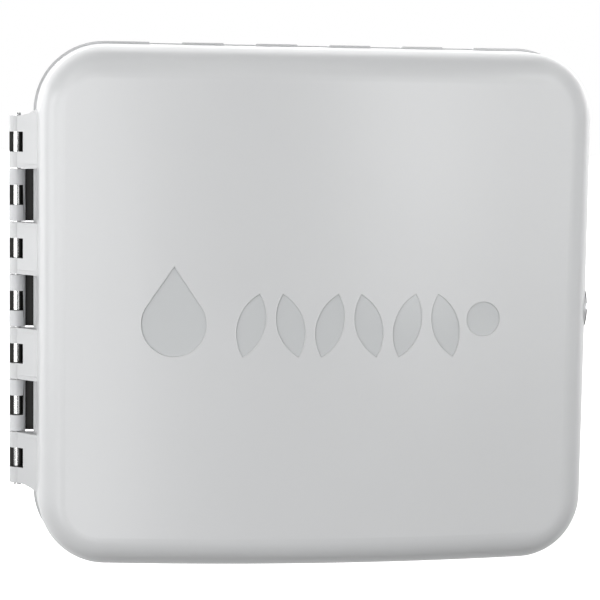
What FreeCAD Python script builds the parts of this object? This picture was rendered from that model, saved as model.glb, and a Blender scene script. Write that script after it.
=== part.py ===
"""Outdoor irrigation controller: a wall-mounted case with a hinged lid, an inner swing panel and its electrics.

Row frame, millimetres: X to the right seen from the front, Z up, the wall is the plane Y = 0 and the lid faces -Y.
The origin is the middle of the back face. Every part stands where it sits with the lid shut and the lock open.
"""
import FreeCAD
import Part
import math
import os

V = FreeCAD.Vector
OUT = "parts"

# ---- driving dimensions -------------------------------------------------------------------------------------
DEPTH = 109.0            # wall to the middle of the lid's face
LID_W, LID_H = 238.9, 222.4   # lid at its rim, without the bead
LID_R = 29.4             # corner radius at the rim
LID_RIM_Y = -62.0        # rear edge of the lid's skirt
LID_SHOULDER_Y = -85.0   # where the drafted skirt meets the front
LID_TAPER = 1.7          # how far the skirt draws in up to the shoulder
LID_WALL = 2.8
LID_ROUND = 13.5         # roundover between the face and the shoulder
LID_SPLAY = 7.5          # bevel that stands for the roundover on the inside
BOW_R = 620.0            # the face bulges about an upright axis
BEAD_OUT, BEAD_DEEP = 0.8, 2.6

CASE_W, CASE_H, CASE_R = 229.0, 212.5, 24.5   # case at its front rim
CASE_RIM_Y = -68.0
CASE_WALL = 3.0
CASE_DRAFT = 1.5 / 68.0

HINGE_X, HINGE_Y = -127.25, -60.5    # lid hinge axis
HINGE_TOP = 80.0
KNUCKLES = 7
KNUCKLE_GAP = 0.5
BARREL_R = 3.5
PIN_R = 1.6

PANEL_W, PANEL_H, PANEL_R = 219.0, 202.5, 21.0
PANEL_FRONT_Y, PANEL_BACK_Y = -79.0, -58.0
PANEL_WALL = 2.4
PANEL_AXIS_X, PANEL_AXIS_Y = -107.5, -76.5    # inner panel hinge axis
LUG_TOPS = (74.0, -70.0)
LUG_TALL = 8.0

LOCK_Y, LOCK_Z = -82.0, 0.0

BACK_IN = -CASE_WALL      # inner face of the case's back wall


# ---- shared shapes ------------------------------------------------------------------------------------------
def block(x0, x1, y0, y1, z0, z1):
    low = V(min(x0, x1), min(y0, y1), min(z0, z1))
    return Part.makeBox(abs(x1 - x0), abs(y1 - y0), abs(z1 - z0), low)


def rod(radius, start, end):
    a, b = V(*start), V(*end)
    return Part.makeCylinder(radius, (b - a).Length, a, b - a)


def rounded_wire(w, h, r, y, cx=0.0, cz=0.0):
    """A rounded rectangle in a plane parallel to the wall."""
    edges = []
    k = math.sqrt(0.5)
    for sx, sz, turn in ((1, 1, 0), (-1, 1, 1), (-1, -1, 2), (1, -1, 3)):
        centre = V(cx + sx * (w / 2 - r), y, cz + sz * (h / 2 - r))
        flat = (V(r * sx, 0, 0), V(0, 0, r * sz))
        first, last = flat if turn % 2 == 0 else flat[::-1]
        middle = V(sx * r * k, 0, sz * r * k)
        edges.append(Part.Arc(centre + first, centre + middle, centre + last).toShape())
    sides = []
    for i, arc in enumerate(edges):
        following = edges[(i + 1) % 4]
        start, end = arc.Vertexes[-1].Point, following.Vertexes[0].Point
        sides.append(arc)
        if (end - start).Length > 1e-4:
            sides.append(Part.LineSegment(start, end).toShape())
    return Part.Wire(sides)


def plate(w, h, r, y0, y1, cx=0.0, cz=0.0):
    face = Part.Face(rounded_wire(w, h, r, y0, cx, cz))
    return face.extrude(V(0, y1 - y0, 0))


def polygon(points, along):
    corners = [V(*p) for p in points]
    return Part.Face(Part.makePolygon(corners + corners[:1])).extrude(V(*along))


def fuse(first, *others):
    return first.multiFuse(list(others)).removeSplitter()


def cut(first, *others):
    return first.cut(Part.makeCompound(list(others)))


def save(name, *solids):
    """One file per sub-part; several solids in it are alike pieces that share the node."""
    shape = solids[0] if len(solids) == 1 else Part.makeCompound(list(solids))
    count = len(shape.Solids)
    good = shape.isValid() and count >= len(solids)
    print(f"{name:26s} solids {count:3d}  volume {shape.Volume / 1000:9.3f} cm3  {'ok' if good else 'CHECK'}")
    shape.exportStep(os.path.join(OUT, name + ".step"))


# ---- lid ----------------------------------------------------------------------------------------------------
def lid_section(y, inset):
    reach = LID_TAPER * (LID_RIM_Y - y) / (LID_RIM_Y - LID_SHOULDER_Y)
    shrink = reach + inset
    return rounded_wire(LID_W - 2 * shrink, LID_H - 2 * shrink, LID_R - shrink, y)


def bow(inset):
    """The upright drum that the lid's face, or its inner face, is part of."""
    return rod(BOW_R - inset, (0, BOW_R - DEPTH, -200), (0, BOW_R - DEPTH, 200))


def lid_form(inset, rim_y):
    """The skirt, and a front that still has the sharp edge round its bowed face."""
    shoulder = lid_section(LID_SHOULDER_Y, inset)
    skirt = Part.makeLoft([lid_section(rim_y, inset), shoulder], True, True)
    front = Part.Face(shoulder).extrude(V(0, -40, 0)).common(bow(inset))
    drums = [f for f in front.Faces if f.Surface.TypeId == "Part::GeomCylinder" and f.Surface.Radius > 300]
    return skirt, front, drums[0].OuterWire.Edges


def lid_outside():
    skirt, front, edges = lid_form(0.0, LID_RIM_Y)
    return skirt.fuse(front.makeFillet(LID_ROUND, edges))


def lid_inside():
    skirt, front, edges = lid_form(LID_WALL, LID_RIM_Y + 1)
    return skirt.fuse(front.makeChamfer(LID_SPLAY, edges))


def knuckle_spans():
    """Low and high Z of each knuckle, from the top one down. The first, third, fifth and last belong to the lid."""
    pitch = 2 * HINGE_TOP / KNUCKLES
    return [(HINGE_TOP - (i + 1) * pitch + KNUCKLE_GAP / 2, HINGE_TOP - i * pitch - KNUCKLE_GAP / 2)
            for i in range(KNUCKLES)]


WINDOW_TALL = 8.6


def knuckle_window(low, high):
    """The pocket that the mould leaves in a knuckle's front, through which the steel pin shows."""
    middle = (low + high) / 2
    return block(HINGE_X - 5, HINGE_X + 2.5, HINGE_Y - 6, HINGE_Y + 1.0,
                 middle - WINDOW_TALL / 2, middle + WINDOW_TALL / 2)


def lid_knuckle(low, high, ribs, flare):
    """A barrel with a slanting strap to the lid's skirt, rib plates at its inner ends and a flared outer end."""
    skirt_x = -LID_W / 2 + 1.4
    strap = [(HINGE_X, HINGE_Y - BARREL_R), (skirt_x, -71.5), (skirt_x, LID_RIM_Y + 0.02),
             (HINGE_X + 3.0, HINGE_Y - 1.5)]
    proud = 0.8
    wide = [(HINGE_X + 0.4, HINGE_Y - BARREL_R - proud), (skirt_x, -71.5 - 1.6), (skirt_x, LID_RIM_Y + 0.02),
            (HINGE_X + 3.0, HINGE_Y - 1.5)]
    rib_thick, flare_tall = 1.7, 2.8
    low_strap = low - flare_tall if flare < 0 else low
    high_strap = high + flare_tall if flare > 0 else high
    pieces = [polygon([(x, y, low_strap) for x, y in strap], (0, 0, high_strap - low_strap))]
    for z in ribs:
        pieces.append(polygon([(x, y, z) for x, y in wide], (0, 0, rib_thick if z == low else -rib_thick)))
    if flare:
        radius = (8.0 ** 2 + flare_tall ** 2) / (2 * flare_tall)
        edge = high if flare > 0 else low
        sweep = rod(radius, (HINGE_X, -80, edge + flare * radius), (HINGE_X, -50, edge + flare * radius))
        pieces[0] = pieces[0].cut(sweep)
    barrel = rod(BARREL_R, (HINGE_X, HINGE_Y, low), (HINGE_X, HINGE_Y, high))
    return fuse(barrel, *pieces)


EMBLEM_DEEP = 0.45
EMBLEM_FOOT = -19.0      # the row's base line on the face


def drop_outline(cx, tall, y):
    """A water drop: a round belly and two straight flanks up to the tip, which touch the belly."""
    r = tall * 0.36
    belly = EMBLEM_FOOT + r
    reach = tall - r
    touch = math.asin(r / reach)
    side_x, side_z = r * math.cos(touch), r * math.sin(touch)
    left, right = V(cx - side_x, y, belly + side_z), V(cx + side_x, y, belly + side_z)
    tip = V(cx, y, EMBLEM_FOOT + tall)
    return Part.Wire([Part.Arc(left, V(cx, y, EMBLEM_FOOT), right).toShape(),
                      Part.LineSegment(right, tip).toShape(), Part.LineSegment(tip, left).toShape()])


def leaf_outline(cx, tall, wide, lean, y):
    """A leaf: two arcs between its foot and its tip, which leans to one side."""
    foot, tip = V(cx - lean / 2, y, EMBLEM_FOOT), V(cx + lean / 2, y, EMBLEM_FOOT + tall)
    middle = (foot + tip) * 0.5
    across = V(tip.z - foot.z, 0, foot.x - tip.x).normalize() * (wide / 2)
    return Part.Wire([Part.Arc(foot, middle + across, tip).toShape(),
                      Part.Arc(tip, middle - across, foot).toShape()])


def disc_outline(cx, cz, r, y):
    return Part.Wire(Part.Circle(V(cx, y, cz), V(0, 1, 0), r).toShape())


def emblem_pockets():
    """A drop, a row of leaves and a sun, sunk a little into the lid's face."""
    y = -DEPTH - 1
    outlines = [drop_outline(-62.0, 38.0, y)]
    for i in range(6):
        outlines.append(leaf_outline(-30.0 + 16.5 * i, 27.0, 12.0, 7.0 if i % 2 == 0 else -7.0, y))
    outlines.append(disc_outline(69.0, EMBLEM_FOOT + 16.0, 7.5, y))
    floor = bow(EMBLEM_DEEP)
    return [Part.Face(o).extrude(V(0, 8, 0)).cut(floor) for o in outlines]


def bead_notches():
    """Five drain notches with sloping ends, which part the bead along the top."""
    top = LID_H / 2
    pitch, narrow, wide = 32.0, 13.0, 17.0
    return [polygon([(cx - narrow / 2, -67, top + 0.02), (cx + narrow / 2, -67, top + 0.02),
                     (cx + wide / 2, -67, top + 2), (cx - wide / 2, -67, top + 2)], (0, 6, 0))
            for cx in (pitch * i for i in range(-2, 3))]


def make_lid():
    bead = plate(LID_W + 2 * BEAD_OUT, LID_H + 2 * BEAD_OUT, LID_R + BEAD_OUT, LID_RIM_Y - BEAD_DEEP, LID_RIM_Y)
    bead = cut(bead, *bead_notches())
    spans = knuckle_spans()
    knuckles = []
    for i in range(0, KNUCKLES, 2):
        low, high = spans[i]
        ribs = [z for z, inner in ((high, i > 0), (low, i < KNUCKLES - 1)) if inner]
        flare = 1 if i == 0 else -1 if i == KNUCKLES - 1 else 0
        knuckles.append(lid_knuckle(low, high, ribs, flare))
    lid = fuse(lid_outside(), bead, *knuckles).cut(lid_inside())
    lid = lid.fuse(rod(LOCK_PAD_R, (LOCK_PAD_X, LOCK_Y, LOCK_Z), (LOCK_SEAT_X + 1, LOCK_Y, LOCK_Z)))
    windows = [knuckle_window(*spans[i]) for i in range(0, KNUCKLES, 2)]
    bore = rod(PIN_R + 0.06, (HINGE_X, HINGE_Y, -100), (HINGE_X, HINGE_Y, 100))
    lock_seat = rod(LOCK_HEAD_R + 0.5, (LOCK_SEAT_X, LOCK_Y, LOCK_Z), (130, LOCK_Y, LOCK_Z))
    lock_hole = rod(LOCK_BODY_R + 0.05, (100, LOCK_Y, LOCK_Z), (130, LOCK_Y, LOCK_Z))
    lid = cut(lid, bore, lock_seat, lock_hole, *windows, *emblem_pockets())
    save("lid", lid)
    card = plate(118, 138, 4, -DEPTH, LID_SHOULDER_Y, 0, 4)
    save("schedule_card", card.common(bow(LID_WALL + 0.02)).cut(bow(LID_WALL + 0.32)))


def make_hinge_pin():
    save("hinge_pin", rod(PIN_R, (HINGE_X, HINGE_Y, -HINGE_TOP - 1.0), (HINGE_X, HINGE_Y, HINGE_TOP + 1.0)))


# ---- cam lock in the lid's right side -----------------------------------------------------------------------
LOCK_SEAT_X, LOCK_PAD_X = 116.0, 111.2
LOCK_BODY_R, LOCK_PLUG_R, LOCK_HEAD_R, LOCK_PAD_R = 7.6, 5.6, 10.6, 11.4
LOCK_HEAD_THICK = 1.6
CAM_X0, CAM_X1 = 106.3, 107.8
CAM_LONG, CAM_HALF = 21.0, 5.0


def hexagon(flats, x0, x1, y, z):
    r = flats / math.sqrt(3)
    points = [(x0, y + r * math.cos(math.radians(60 * i + 30)), z + r * math.sin(math.radians(60 * i + 30)))
              for i in range(6)]
    return polygon(points, (x1 - x0, 0, 0))


def make_lock():
    at = (LOCK_Y, LOCK_Z)
    front = LOCK_SEAT_X + LOCK_HEAD_THICK
    body = fuse(rod(LOCK_BODY_R, (CAM_X1 + 0.2, *at), (LOCK_SEAT_X, *at)),
                rod(LOCK_HEAD_R, (LOCK_SEAT_X, *at), (front, *at)))
    save("lock_housing", body.cut(rod(LOCK_PLUG_R + 0.04, (100, *at), (130, *at))))
    nut = hexagon(18.0, LOCK_PAD_X - 2.8, LOCK_PAD_X - 0.02, *at)
    save("lock_nut", nut.cut(rod(LOCK_BODY_R + 0.02, (100, *at), (130, *at))))
    plug = rod(LOCK_PLUG_R, (CAM_X1, *at), (front - 0.2, *at))
    keyway = block(front - 9, 130, LOCK_Y - 3.4, LOCK_Y + 3.4, LOCK_Z - 0.9, LOCK_Z + 0.9)
    save("lock_plug", plug.cut(keyway))
    tip = LOCK_Y + CAM_LONG - CAM_HALF
    arm = fuse(rod(7.5, (CAM_X0, *at), (CAM_X1, *at)),
               block(CAM_X0, CAM_X1, LOCK_Y, tip, LOCK_Z - CAM_HALF, LOCK_Z + CAM_HALF),
               rod(CAM_HALF, (CAM_X0, tip, LOCK_Z), (CAM_X1, tip, LOCK_Z)))
    save("lock_cam", arm)
    save("lock_cam_screw", rod(3.5, (CAM_X0 - 2.2, *at), (CAM_X0, *at)))


# ---- case ---------------------------------------------------------------------------------------------------
def case_section(y, inset):
    shrink = CASE_DRAFT * (y - CASE_RIM_Y) + inset
    return rounded_wire(CASE_W - 2 * shrink, CASE_H - 2 * shrink, CASE_R - shrink, y)


def case_block(inset, y_back, y_front):
    return Part.makeLoft([case_section(y_back, inset), case_section(y_front, inset)], True, True)


def case_knuckle(low, high):
    """A barrel carried from behind by a plate off the case's side."""
    barrel = rod(BARREL_R, (HINGE_X, HINGE_Y, low), (HINGE_X, HINGE_Y, high))
    arm = [(HINGE_X, HINGE_Y + BARREL_R), (-112.5, HINGE_Y + BARREL_R + 2.5), (-112.5, HINGE_Y - 0.4),
           (HINGE_X + 2.0, HINGE_Y + 0.6)]
    return fuse(barrel, polygon([(x, y, low) for x, y in arm], (0, 0, high - low)))


def panel_lug(top):
    """An ear at the case's left rim with an upright hole, on which the inner panel hangs."""
    base = top - LUG_TALL
    ear = rod(3.6, (PANEL_AXIS_X, PANEL_AXIS_Y, base), (PANEL_AXIS_X, PANEL_AXIS_Y, top))
    arm = [(PANEL_AXIS_X - 3.6, PANEL_AXIS_Y), (-114.3, -67), (-114.3, -60), (-111.0, -60),
           (PANEL_AXIS_X + 1.5, PANEL_AXIS_Y + 3.25)]
    web = polygon([(x, y, base) for x, y in arm], (0, 0, LUG_TALL))
    return fuse(ear, web)


BOARD_X, BOARD_Z = (-104.0, 40.0), (-21.0, 75.0)
BOARD_BACK_Y, BOARD_THICK = -12.0, 1.6
BOARD_HOLES = [(x, z) for x in (-99.5, 35.5) for z in (-16.5, 70.5)]
WALL_SCREWS_X, WALL_SCREWS_Z = 40.0, -92.0
KEYHOLE_Z, KEYHOLE_HEAD_R, KEYHOLE_NECK_R = 84.0, 4.8, 2.5
FIELD_CONDUIT_X, SPARE_CONDUIT_X, MAINS_CONDUIT_X, CONDUIT_Y = -64.0, -8.0, 79.0, -27.0
FIELD_CONDUIT_R, SMALL_CONDUIT_R = 16.8, 11.1
JUNCTION_X, JUNCTION_Z, JUNCTION_LID_Y = 46.5, -50.0, -46.0
JUNCTION_SCREW = (56.0, -59.0)
TRAFO_X, TRAFO_Z = 79.0, -17.0
TRAFO_FEET = [(TRAFO_X, TRAFO_Z - 28.5), (TRAFO_X, TRAFO_Z + 28.5)]
STRIKE_Z = (13.0, 24.0)


def junction_walls():
    """Two walls that fence the mains compartment off in the lower right corner, and its cover's screw post."""
    thick = 2.4
    return [block(JUNCTION_X, JUNCTION_X + thick, BACK_IN + 1, JUNCTION_LID_Y, -104.5, JUNCTION_Z),
            block(JUNCTION_X, 111.2, BACK_IN + 1, JUNCTION_LID_Y, JUNCTION_Z - thick, JUNCTION_Z),
            block(JUNCTION_X, JUNCTION_SCREW[0] + 3.4, BACK_IN + 1, JUNCTION_LID_Y,
                  JUNCTION_SCREW[1] - 3.4, JUNCTION_Z - 1)]


def strike():
    """A tongue off the right wall's rim with a lip at its tip, which the lock's cam turns up behind."""
    low, high = STRIKE_Z
    tip = LOCK_Y - CAM_HALF - 3.4
    tongue = block(CAM_X1 + 0.9, CAM_X1 + 3.9, -66.0, tip, low, high)
    root = block(CAM_X1 + 0.9, 112.5, -62.0, -70.0, low, high)
    lip = block(CAM_X0 - 0.9, CAM_X1 + 1.0, tip + 3.0, tip, low, high)
    return fuse(tongue, root, lip)


def rib_post(x, z, reach, top_y):
    """A cross-shaped moulded post on the back wall."""
    half = 0.9
    upright = block(x - half, x + half, BACK_IN + 1, top_y, z - reach, z + reach)
    return upright.fuse(block(x - reach, x + reach, BACK_IN + 1, top_y, z - half, z + half)).removeSplitter()


def make_case():
    bevel = 3.0
    shell = Part.makeLoft([case_section(0, bevel), case_section(-bevel, 0.0), case_section(CASE_RIM_Y, 0.0)],
                          True, True)
    shell = shell.cut(case_block(CASE_WALL, BACK_IN, CASE_RIM_Y - 1))
    flange = plate(239.6, 223.2, 29.6, -60.9, -58.4).cut(case_block(1.5, 0.0, CASE_RIM_Y - 1))
    hinge_relief = block(-122, -116.6, -62, -57, -83.5, 83.5)
    flange = flange.cut(hinge_relief)
    spans = knuckle_spans()
    knuckles = [case_knuckle(*spans[i]) for i in range(1, KNUCKLES, 2)]
    lugs = [panel_lug(top) for top in LUG_TOPS]
    board_posts = [rib_post(x, z, 3.4, BOARD_BACK_Y) for x, z in BOARD_HOLES]
    trafo_posts = [rib_post(x, z, 4.4, -7.0) for x, z in TRAFO_FEET]
    case = fuse(shell, flange, strike(), *knuckles, *lugs, *board_posts, *trafo_posts, *junction_walls())
    holes = [rod(PIN_R + 0.02, (HINGE_X, HINGE_Y, -100), (HINGE_X, HINGE_Y, 100))]
    holes += [rod(2.08, (PANEL_AXIS_X, PANEL_AXIS_Y, t - LUG_TALL - 1), (PANEL_AXIS_X, PANEL_AXIS_Y, t + 1))
              for t in LUG_TOPS]
    holes += [rod(2.6, (s * WALL_SCREWS_X, -5, WALL_SCREWS_Z), (s * WALL_SCREWS_X, 1, WALL_SCREWS_Z))
              for s in (-1, 1)]
    holes += [rod(KEYHOLE_HEAD_R, (0, -5, KEYHOLE_Z), (0, 1, KEYHOLE_Z)),
              rod(KEYHOLE_NECK_R, (0, -5, KEYHOLE_Z + 8), (0, 1, KEYHOLE_Z + 8)),
              block(-KEYHOLE_NECK_R, KEYHOLE_NECK_R, -5, 1, KEYHOLE_Z, KEYHOLE_Z + 8)]
    for x, r in ((FIELD_CONDUIT_X, FIELD_CONDUIT_R), (SPARE_CONDUIT_X, SMALL_CONDUIT_R),
                 (MAINS_CONDUIT_X, SMALL_CONDUIT_R)):
        holes.append(rod(r, (x, CONDUIT_Y, -120), (x, CONDUIT_Y, -96)))
    holes += [knuckle_window(*spans[i]) for i in range(1, KNUCKLES, 2)]
    holes += [block(cx - 38, cx + 38, -0.9, 1, -61, 69) for cx in (-58, 58)]
    holes.append(rod(1.4, (JUNCTION_SCREW[0], -38, JUNCTION_SCREW[1]),
                     (JUNCTION_SCREW[0], -50, JUNCTION_SCREW[1])))
    save("case", cut(case, *holes))


def make_conduit_plug():
    """A snap-in cap that closes the spare wiring hole: a button head and a split skirt."""
    bottom = -CASE_H / 2 + CASE_DRAFT * (CONDUIT_Y - CASE_RIM_Y)
    at = (SPARE_CONDUIT_X, CONDUIT_Y)
    head = rod(SMALL_CONDUIT_R + 2.4, (*at, bottom - 1.9), (*at, bottom - 0.35))
    skirt = rod(SMALL_CONDUIT_R - 0.15, (*at, bottom - 0.4), (*at, bottom + 5.5))
    hollow = rod(SMALL_CONDUIT_R - 1.9, (*at, bottom + 0.4), (*at, bottom + 7))
    split = block(at[0] - 14, at[0] + 14, at[1] - 1, at[1] + 1, bottom + 3.4, bottom + 7)
    save("conduit_plug", cut(fuse(head, skirt), hollow, split))


# ---- mains compartment and transformer ----------------------------------------------------------------------
def make_mains():
    y0, y1 = JUNCTION_LID_Y - 2.2, JUNCTION_LID_Y - 0.1
    right, bottom, corner = 109.6, -101.4, 19.0
    cover = plate(right - JUNCTION_X, JUNCTION_Z - bottom, 1.0, y1, y0,
                  (right + JUNCTION_X) / 2, (JUNCTION_Z + bottom) / 2)
    wedge = block(right - corner, right + 1, y0 - 1, y1 + 1, bottom - 1, bottom + corner)
    wedge = wedge.cut(rod(corner, (right - corner, y0 - 2, bottom + corner), (right - corner, y1 + 2, bottom + corner)))
    sx, sz = JUNCTION_SCREW
    cover = cut(cover, wedge, rod(1.8, (sx, y0 - 1, sz), (sx, y1 + 1, sz)))
    ribs = [block(70 + 7 * i, 72 + 7 * i, y0 - 0.8, y0 + 0.2, -93, -70) for i in range(4)]
    save("junction_cover", fuse(cover, *ribs))
    screw = fuse(rod(3.0, (sx, y0 - 1.6, sz), (sx, y0 - 0.02, sz)), rod(1.38, (sx, y0 - 0.1, sz), (sx, -39, sz)))
    save("junction_cover_screw", screw)
    ways = 3
    pitch, left = 11.0, 64.0
    strip = block(left, left + pitch * ways, BACK_IN - 0.05, -17, -75, -59)
    middles = [left + pitch * (i + 0.5) for i in range(ways)]
    wells = [block(x - 2.6, x + 2.6, -18, -9.5, -69.6, -64.4) for x in middles]
    entries = [block(x - 2.2, x + 2.2, -9.0, -5.0, -76, -70) for x in middles]
    save("mains_terminal_strip", cut(strip, *wells, *entries))


def make_transformer():
    """An E-I lamination stack with its bobbin and winding, in a bent steel strap with two feet."""
    stack_w, stack_h, leg = 57.0, 47.5, 19.0
    y0, y1 = -34.0, -12.0
    core = block(TRAFO_X - stack_w / 2, TRAFO_X + stack_w / 2, y0, y1, TRAFO_Z - stack_h / 2, TRAFO_Z + stack_h / 2)
    window_w, window_h = leg / 2, stack_h - leg
    windows = [block(TRAFO_X + s * leg / 2, TRAFO_X + s * (leg / 2 + window_w), y0 - 1, y1 + 1,
                     TRAFO_Z - window_h / 2, TRAFO_Z + window_h / 2) for s in (-1, 1)]
    save("transformer_core", cut(core, *windows))
    half_w, half_h = leg / 2 + window_w - 0.3, window_h / 2 - 0.3
    bulge = plate(2 * half_w, 2 * half_h - 3.2, 5.0, -41.5, -4.6, TRAFO_X, TRAFO_Z)
    leg_hole = block(TRAFO_X - leg / 2 - 0.1, TRAFO_X + leg / 2 + 0.1, y0 - 0.1, y1 + 0.1, TRAFO_Z - 30, TRAFO_Z + 30)
    save("transformer_winding", bulge.cut(leg_hole))
    cheeks = []
    for s in (-1, 1):
        z0, z1 = TRAFO_Z + s * (half_h - 1.5), TRAFO_Z + s * half_h
        cheeks.append(block(TRAFO_X - half_w, TRAFO_X + half_w, -42.8, -3.9, z0, z1).cut(leg_hole))
    save("transformer_bobbin", *cheeks)
    t, top = 1.2, stack_h / 2
    strap = []
    for s in (-1, 1):
        outer, inner = TRAFO_Z + s * (top + t), TRAFO_Z + s * top
        strap.append(block(TRAFO_X - 15, TRAFO_X + 15, y0 - t, -7.02, inner, outer))
        strap.append(block(TRAFO_X - 15, TRAFO_X + 15, -7.02 - t, -7.02, inner, TRAFO_Z + s * (top + 8.8)))
        strap.append(block(TRAFO_X - 15, TRAFO_X + 15, y0 - t, y0 - 0.02, inner, TRAFO_Z + s * (top - 5)))
    save("transformer_strap", fuse(*strap[:3]), fuse(*strap[3:]))
    save("transformer_screws", *[rod(3.4, (x, -10.6, z), (x, -8.25, z)) for x, z in TRAFO_FEET])


# ---- terminal board and station modules ---------------------------------------------------------------------
BOARD_FRONT_Y = BOARD_BACK_Y - BOARD_THICK
DOCK_X, DOCK_Z = (-62.0, 38.0), (-12.0, 66.0)
DOCK_FRONT_Y = BOARD_FRONT_Y - 3.0
MODULE_W, MODULE_GAP = 31.0, 1.5
MODULE_Z = (-4.0, 64.0)
MODULES = 3
MODULE_TERMINALS = 3


def module_left(i):
    return DOCK_X[0] + 2.0 + i * (MODULE_W + MODULE_GAP)


def make_terminal_board():
    width, tall = BOARD_X[1] - BOARD_X[0], BOARD_Z[1] - BOARD_Z[0]
    centre = (sum(BOARD_X) / 2, sum(BOARD_Z) / 2)
    board = plate(width, tall, 3.0, BOARD_BACK_Y - 0.02, BOARD_FRONT_Y, *centre)
    save("terminal_board", board)
    save("board_screws", *[rod(2.8, (x, BOARD_FRONT_Y - 2.0, z), (x, BOARD_FRONT_Y - 0.02, z))
                           for x, z in BOARD_HOLES])
    ways, pitch, foot = 9, 8.0, -8.5
    x0, x1 = -101.0, -84.0
    depth = BOARD_FRONT_Y - 14.0
    profile = [(x0, BOARD_FRONT_Y - 0.02), (x0, depth + 6), (x0 + 5.5, depth), (x1, depth), (x1, BOARD_FRONT_Y - 0.02)]
    strip = polygon([(x, y, foot) for x, y in profile], (0, 0, ways * pitch))
    heights = [foot + pitch * (i + 0.5) for i in range(ways)]
    wells = [block(x1 - 8.2, x1 - 2.8, depth - 1, depth + 5, z - 2.7, z + 2.7) for z in heights]
    entries = [block(x0 - 1, x0 + 6, BOARD_FRONT_Y - 5.5, BOARD_FRONT_Y - 2.5, z - 1.6, z + 1.6) for z in heights]
    save("field_terminal_strip", cut(strip, *wells, *entries))
    header = block(-78, -70, BOARD_FRONT_Y - 0.02, BOARD_FRONT_Y - 9, 14, 48)
    save("board_ribbon_header", header.cut(block(-76.8, -71.2, -30, BOARD_FRONT_Y - 2, 15.4, 46.6)))


def make_dock():
    """The tray that the station modules plug into, with a rail along its foot for the locking slide."""
    tray = block(*DOCK_X, BOARD_FRONT_Y - 0.04, DOCK_FRONT_Y, *DOCK_Z)
    rail = block(*DOCK_X, DOCK_FRONT_Y + 0.1, DOCK_FRONT_Y - 6.0, DOCK_Z[0], DOCK_Z[0] + 1.2)
    keepers = [block(x, x + 5, DOCK_FRONT_Y - 4.8, DOCK_FRONT_Y - 6.0, DOCK_Z[0], DOCK_Z[0] + 4.0)
               for x in (-58, -10, 30)]
    head = block(*DOCK_X, DOCK_FRONT_Y + 0.1, DOCK_FRONT_Y - 5.0, DOCK_Z[1] - 1.4, DOCK_Z[1])
    sockets = [block(module_left(i) + 8, module_left(i) + MODULE_W - 8, BOARD_FRONT_Y + 1, -30, 40, 43.5)
               for i in range(MODULES)]
    save("module_dock", cut(fuse(tray, rail, head, *keepers), *sockets))


def make_module_lock():
    low, high = DOCK_Z[0] + 1.5, MODULE_Z[0] - 0.6
    bar = block(-59, 29, DOCK_FRONT_Y - 0.1, DOCK_FRONT_Y - 4.5, low, high)
    thumb = block(-36, -26, DOCK_FRONT_Y - 4.4, DOCK_FRONT_Y - 12.0, low + 0.6, high - 0.6)
    grips = [block(-34.6 + 2.4 * i, -33.6 + 2.4 * i, DOCK_FRONT_Y - 11.9, DOCK_FRONT_Y - 12.7, low + 0.6, high - 0.6)
             for i in range(4)]
    save("module_lock_slide", fuse(bar, thumb, *grips))


def make_module(i):
    """A plug-in output module: a stepped housing with wire entries and screw wells along its foot."""
    x0 = module_left(i)
    foot, top = MODULE_Z
    back = DOCK_FRONT_Y - 0.1
    step, front = back - 12.0, back - 25.0
    profile = [(back, foot), (step, foot), (step, foot + 13), (front + 3, foot + 17), (front, foot + 21),
               (front, top - 4), (front + 4, top), (back, top)]
    body = polygon([(x0, y, z) for y, z in profile], (MODULE_W, 0, 0))
    centres = [x0 + MODULE_W * (k + 0.5) / MODULE_TERMINALS for k in range(MODULE_TERMINALS)]
    wells = [block(x - 2.7, x + 2.7, step - 1, step + 5, foot + 3.8, foot + 9.2) for x in centres]
    entries = [block(x - 1.7, x + 1.7, back - 7.5, back - 4.1, foot - 1, foot + 6) for x in centres]
    grooves = [block(x0 - 1, x0 + MODULE_W + 1, front - 1, front + 0.8, top - 12 - 3.2 * k, top - 10.6 - 3.2 * k)
               for k in range(3)]
    save(f"station_module_{i + 1}", cut(body, *wells, *entries, *grooves))


# ---- inner swing panel and face pack ------------------------------------------------------------------------
PACK_W, PACK_H, PACK_R, PACK_Z = 197.0, 149.0, 9.0, 15.0
PACK_FRONT_Y, PACK_BACK_Y = -82.4, -62.0
SCREEN_X, SCREEN_Z, SCREEN_W, SCREEN_H = -44.0, 52.0, 78.0, 40.0
DIAL_X, DIAL_Z = 52.0, 16.0
BUTTON_R = 5.6
BUTTON_ROW_Z = 10.0
BUTTONS = {"back_button": (-80.0, BUTTON_ROW_Z), "next_button": (-60.0, BUTTON_ROW_Z),
           "minus_button": (-34.0, BUTTON_ROW_Z), "plus_button": (-14.0, BUTTON_ROW_Z),
           "program_button": (-80.0, -26.0)}
SWITCH_X, SWITCH_Z, SWITCH_TRAVEL = -34.0, -26.0, 5.0
RESET_X, RESET_Z = 30.0, -40.0


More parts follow.
